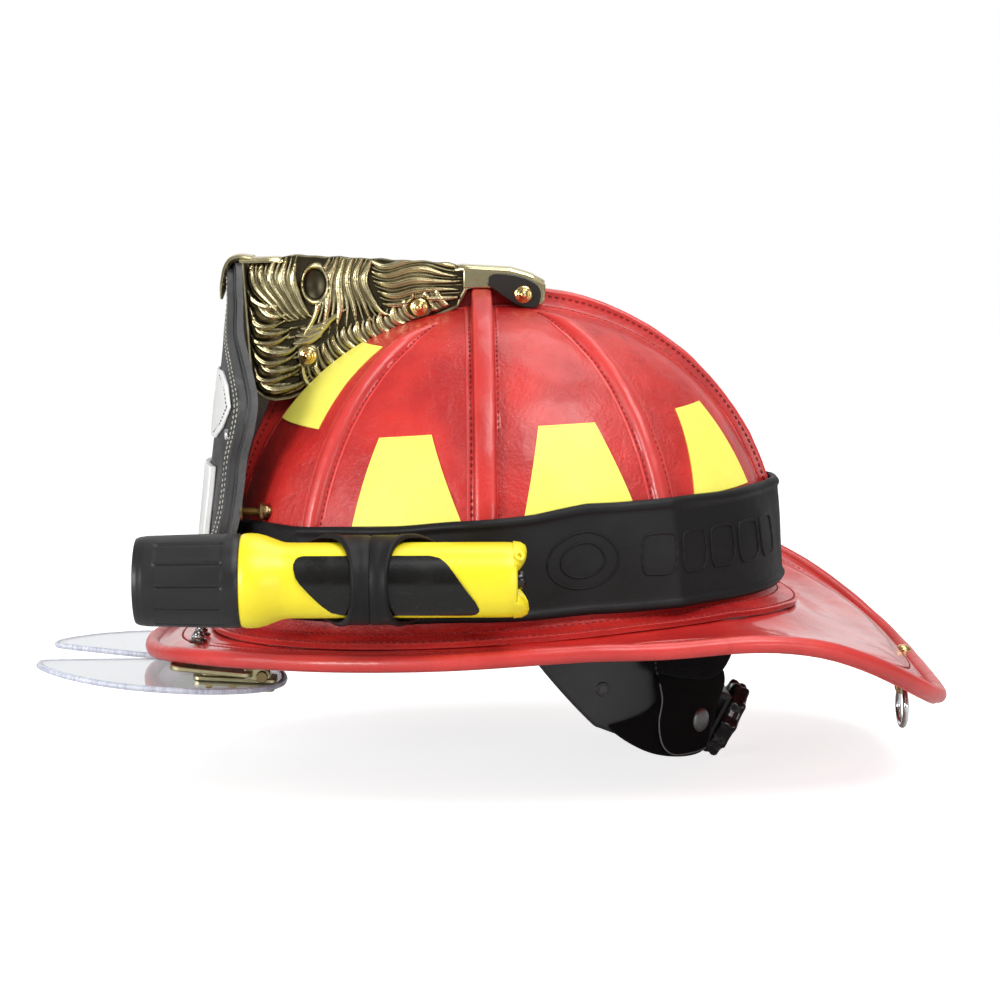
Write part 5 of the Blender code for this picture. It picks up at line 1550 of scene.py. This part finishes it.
def on_nape(sign):
    """Maps a side view (x, z) and a distance out onto the plan ellipse the nape parts follow."""
    def place(u, v, w):
        half = NAPE_Y * math.sqrt(max(0.02, 1 - (u / NAPE_X) ** 2))
        out = unit(np.array([u / NAPE_X ** 2, sign * half / NAPE_Y ** 2, 0.0]))
        return np.array([u, sign * half, v]) + out * w
    return place


def cushion(name, outline, place, low, high, finish, puff, rounding, **more):
    """A soft or moulded sheet from a side-view outline, with rounded edges and a gentle swell."""
    edge = resample(smooth_profile(outline + outline[:1], 6)[:-1], 1.2, True)
    middle = edge.mean(0)
    size = np.linalg.norm(edge - middle, axis=1).mean()
    shares = [1 - rounding / size, 0.9, 0.78, 0.64, 0.48, 0.3, 0.12]
    rows = [(1 - rounding / size, low), (1.0, low + rounding * 0.5), (1.0, high - rounding * 0.6)]
    rows += [(share, high + puff * (1 - share ** 3)) for share in shares]
    rings = []
    for share, height in [(0.1, low)] + rows:
        ring = np.array([place(u, v, height) for u, v in middle + (edge - middle) * share])
        if share < 0.95 and height > low:
            ring = ring + 0.25 * puff * ripple(ring, 14, 84)[:, None] * unit(ring * (1, 1, 0))
        rings.append(ring)
    loft(name, np.array(rings), finish, sharp=70, **more)


NAPE_ARM = [(8, -50), (12, -59), (24.3, -74.5), (37.9, -89.5), (42, -92.3), (56, -98), (72, -100),
            (74, -84), (68, -60), (60, -50)]
NAPE_COVER = [(45.5, -91.0), (47.0, -94.0), (55.2, -100.6), (65.6, -106.5), (77.8, -110.0),
              (87.4, -110.6), (91.0, -108.0), (93.0, -100.0), (97.0, -88.0), (100.0, -79.0),
              (96.0, -72.0), (72.0, -68.0), (66.0, -70.0), (67.5, -77.0), (67.8, -82.0), (60.7, -87.5)]
NAPE_PATCH = [(66.0, -66.0), (66.6, -74.0), (67.8, -82.0), (66.4, -92.0), (68.0, -102.0), (73.0, -107.5),
              (82.0, -108.6), (88.5, -108.0), (91.2, -101.0), (95.0, -89.0), (98.5, -79.0), (93.0, -71.0)]
NAPE_FLAP = [(60.2, -56.0), (60.8, -66.2), (69.7, -70.4), (81.9, -74.3), (90.6, -75.0), (96.6, -71.2),
             (100.4, -63.0), (96.0, -54.0)]


def nape(side, sign):
    """The rigid arm, its suede cover and the flannel flap over it."""
    place = on_nape(sign)
    cushion("nape_arm_strip_" + side, NAPE_ARM, place, -0.4, 2.2, "black", 0.0, 0.7,
            replaces=["nape_arm_" + side])
    spot = place(42.7, -74.5, 2.2)
    out = unit(place(42.7, -74.5, 3.2) - spot)
    revolve("nape_arm_socket_" + side, [(1.7, -1.2), (1.7, 0.1), (2.1, 0.5), (3.0, 0.5), (3.5, -0.2)],
            spot, out, "black", steps=28)
    # A disc in the patina finish, sunk in the socket, is painted shade that stands for the dark inside of
    # the hole.
    revolve("nape_arm_hole_painted_shade_" + side, [(0, -0.1), (2.0, -0.1), (2.0, -0.9), (0, -0.9)][::-1],
            spot + out * 0.75, out, "patina", steps=20)
    cushion("nape_cover_leather_" + side, NAPE_COVER, place, 2.2, 4.0, "suede", 1.4, 0.9,
            replaces=["nape_cover_" + side])
    cushion("nape_cover_patch_" + side, NAPE_PATCH, place, 4.6, 6.2, "suede", 0.8, 0.7)
    rim = smooth_profile(NAPE_PATCH[1:8], 6)
    path = np.array([place(u, v, 6.0) for u, v in rim])
    tube("nape_patch_edge_" + side, path, 0.33, "cut_edge", sides=8, up=(0, sign, 0))
    cushion("nape_flap_" + side, NAPE_FLAP, place, 6.6, 9.0, "flannel", 1.6, 1.1)
    seam = [(61.8, -58.0), (62.4, -65.0), (63.0, -68.0)]
    path = np.array([place(u, v, 10.0) for u, v in smooth_profile(seam, 6)])
    stitches("nape_flap_stitches_" + side, path, unit(path * (1, 1, 0)), "black_thread", pitch=2.4,
             length=1.7, radius=0.35)
    spot = place(85.2, -93.9, 7.0)
    out = unit(place(85.2, -93.9, 8.0) - spot)
    revolve("nape_rivet_" + side, [(0, -2.5), (5.2, -2.5), (5.6, 0), (5.2, 0.6), (4.2, 0.9), (0, 1.25)],
            spot, out, "dull_steel", steps=36)


def knob():
    def lobes(radius, along, angle):
        bite = np.cos(angle * 10)
        return np.where(radius > 14, 1.1 * bite + 0.3 * np.cos(angle * 20) - 0.3, 0)
    profile = [(2.7, 4.9), (16.0, 4.9), (17.4, 5.3), (18.0, 6.2), (18.1, 8.0), (17.5, 9.3), (17.5, 9.9),
               (18.1, 11.0), (18.0, 12.6), (17.2, 13.6), (15.0, 13.9), (12.5, 13.3), (9.0, 13.1),
               (0, 13.1), (0, 9.9), (2.7, 9.9)]
    revolve("knob_grip", profile, KNOB, OUT, "gloss_black", steps=160,
            wave=lobes, body="knob", replaces=["ratchet_knob"], sharp=50)


def pad():
    """The soft nape pad, crowned between its seams."""
    v, u = np.meshgrid(np.linspace(-1, 1, 28), np.linspace(-1, 1, 60))
    a = np.radians(70 * u)
    swell = 1.6 * (1 - np.abs(v) ** 3) * (1 - np.abs(u) ** 6)
    centre = KNOB - OUT * 70.0
    grids = []
    for base, sign in ((61.6, 1), (57.2, -1)):
        r = (base + sign * swell)[..., None]
        grids.append(centre + (OUT * np.cos(a)[..., None] + np.array([0, 1, 0]) * np.sin(a)[..., None]) * r
                     + UP * (17 * v)[..., None])
    slab("nape_pad_soft", grids[0], grids[1], "suede", bevel=0.8, replaces=["nape_pad"])


# ---------------------------------------------------------------- tail ring

RING_X = 195.0
RING_Z = -91.5                     # where the ring hangs from its staple
RING_R = 9.5


def tail_ring():
    """The ring under the tail, its staple and the rivet that holds it."""
    a = np.linspace(0, 2 * math.pi, 72, endpoint=False)
    path = xyz(RING_X, RING_R * np.sin(a), RING_Z - RING_R + RING_R * np.cos(a))
    tube("ring_wire", path, 1.45, "chrome", closed=True, sides=16, up=(1, 0, 0), body="hang_ring",
         replaces=["hang_ring"])
    profile = [(0, 20.6), (1.8, 20.3), (3.1, 19.4), (3.7, 18.3), (3.7, 17.8), (1.5, 17.6), (1.5, 2.0),
               (0, 2.0)]
    revolve("staple_rivet", profile, (RING_X, 0, RING_Z), (0, 0, 1), "bright_brass", steps=32,
            replaces=["ring_staple"])
    path = xyz(RING_X + 2.9 * np.cos(a), 0.0, RING_Z + 2.9 * np.sin(a))
    tube("staple_loop", path, 0.95, "bright_brass", closed=True, sides=12, up=(0, 1, 0))


# ---------------------------------------------------------------- stage

CAMERA_TARGET = Vector((0, 0, -DATUM_DROP * MM))
CAMERA_DISTANCE = 1.1
CAMERA_AZIMUTH = math.radians(-1.5)
CAMERA_ELEVATION = math.radians(7.0)
CAMERA_LENS = 82.94
LAMPS = {                          # place, aim, size and power
    "key": ((0.55, -0.9, 1.25), (0, 0, 0), (1.0, 0.7), 17),
    "top": ((0.35, 0.25, 1.4), (0.05, 0, 0), (1.1, 0.7), 8),
    "front": ((1.15, -1.6, 0.10), (0, 0, -0.03), (0.8, 0.4), 6),
    "near_left": ((-1.40, -1.30, 0.30), (-0.05, 0, 0), (0.6, 0.6), 21),
    "left": ((-1.5, -0.45, 0.25), (-0.1, 0, 0), (0.4, 0.8), 3.5),
}


def area_light(name, place, aim, size, power):
    data = bpy.data.lights.new(name, "AREA")
    data.shape = "RECTANGLE"
    data.size, data.size_y = size
    data.energy = power
    lamp = bpy.data.objects.new(name, data)
    bpy.context.scene.collection.objects.link(lamp)
    lamp.location = place
    lamp.rotation_euler = (Vector(aim) - Vector(place)).to_track_quat("-Z", "Y").to_euler()


def studio_world():
    """Plain white behind the object; what lights it is bright overhead and behind, dim at the sides."""
    world = bpy.data.worlds.new("studio")
    world.use_nodes = True
    tree = world.node_tree
    shown = tree.nodes["Background"]
    feed(shown, {"Color": (1, 1, 1)})
    aim = add_node(tree, "ShaderNodeSeparateXYZ", {
        "Vector": add_node(tree, "ShaderNodeTexCoord").outputs["Generated"]})
    overhead = ramp(tree, aim.outputs["Z"], -0.1, 0.75, 0.14, 0.50)
    behind = ramp(tree, aim.outputs["Y"], 0.6, 0.97, 0.0, 1.1)
    level = maths(tree, "ADD", overhead, behind)
    lighting = add_node(tree, "ShaderNodeBackground", {"Strength": level})
    choice = add_node(tree, "ShaderNodeMixShader")
    seen = add_node(tree, "ShaderNodeLightPath").outputs["Is Camera Ray"]
    tree.links.new(seen, choice.inputs[0])
    tree.links.new(lighting.outputs[0], choice.inputs[1])
    tree.links.new(shown.outputs[0], choice.inputs[2])
    tree.links.new(choice.outputs[0], tree.nodes["World Output"].inputs["Surface"])
    bpy.context.scene.world = world


def stage_floor():
    """A pale floor that also glows a little to the camera, so it reads as a white ground."""
    mesh = bpy.data.meshes.new("floor")
    low = cad_box[0].z - 0.001
    mesh.from_pydata([(x, y, low) for x, y in ((-6, -6), (6, -6), (6, 6), (-6, 6))], [],
                     [(0, 1, 2, 3)])
    floor = bpy.data.objects.new("floor", mesh)
    bpy.context.scene.collection.objects.link(floor)
    mat, tree, bsdf = start_material("pale_floor")
    seen = add_node(tree, "ShaderNodeLightPath").outputs["Is Camera Ray"]
    feed(bsdf, {"Base Color": (0.62, 0.62, 0.62), "Roughness": 0.9, "Emission Color": (1, 1, 1),
                "Emission Strength": maths(tree, "MULTIPLY", seen, 0.72)})
    mesh.materials.append(mat)


def stage_camera():
    data = bpy.data.cameras.new("camera")
    data.lens = CAMERA_LENS
    data.sensor_width = 36.0
    camera = bpy.data.objects.new("camera", data)
    bpy.context.scene.collection.objects.link(camera)
    sin_a, cos_a = math.sin(CAMERA_AZIMUTH), math.cos(CAMERA_AZIMUTH)
    sin_e, cos_e = math.sin(CAMERA_ELEVATION), math.cos(CAMERA_ELEVATION)
    right = Vector((cos_a, sin_a, 0))
    ahead = Vector((-sin_a * cos_e, cos_a * cos_e, -sin_e))
    up = right.cross(ahead)
    turn = Matrix((right, up, -ahead)).transposed().to_4x4()
    camera.matrix_world = Matrix.Translation(CAMERA_TARGET - ahead * CAMERA_DISTANCE) @ turn
    bpy.context.scene.camera = camera


def stage():
    stage_floor()
    studio_world()
    bpy.context.scene.view_settings.view_transform = "Standard"
    for name, lamp in LAMPS.items():
        area_light(name, *lamp)
    stage_camera()


def dress_cad_nodes():
    """CAD nodes that stay get their slot's finish and softened edges."""
    by_slot = {slot: mat for mat, slot in reversed(FINISHES.values())}
    slots = {s["node"]: s["material_slot"] for s in frame["record"]["subparts"]}
    for name, obj in cad.items():
        obj.data.materials.clear()
        obj.data.materials.append(by_slot[slots[name]])
        if not obj.hide_render:
            round_edges(obj, 0.4)


def main():
    crown()
    combs()
    ribs()
    brim()
    brim_roll()
    reflectors()
    front_holder()
    front_piece()
    rubber_band()
    light_head()
    light_body()
    light_button()
    light_label()
    eye_shields()
    for side, sign in SIDES.items():
        nape(side, sign)
    knob()
    pad()
    tail_ring()
    dress_cad_nodes()
    stage()


main()
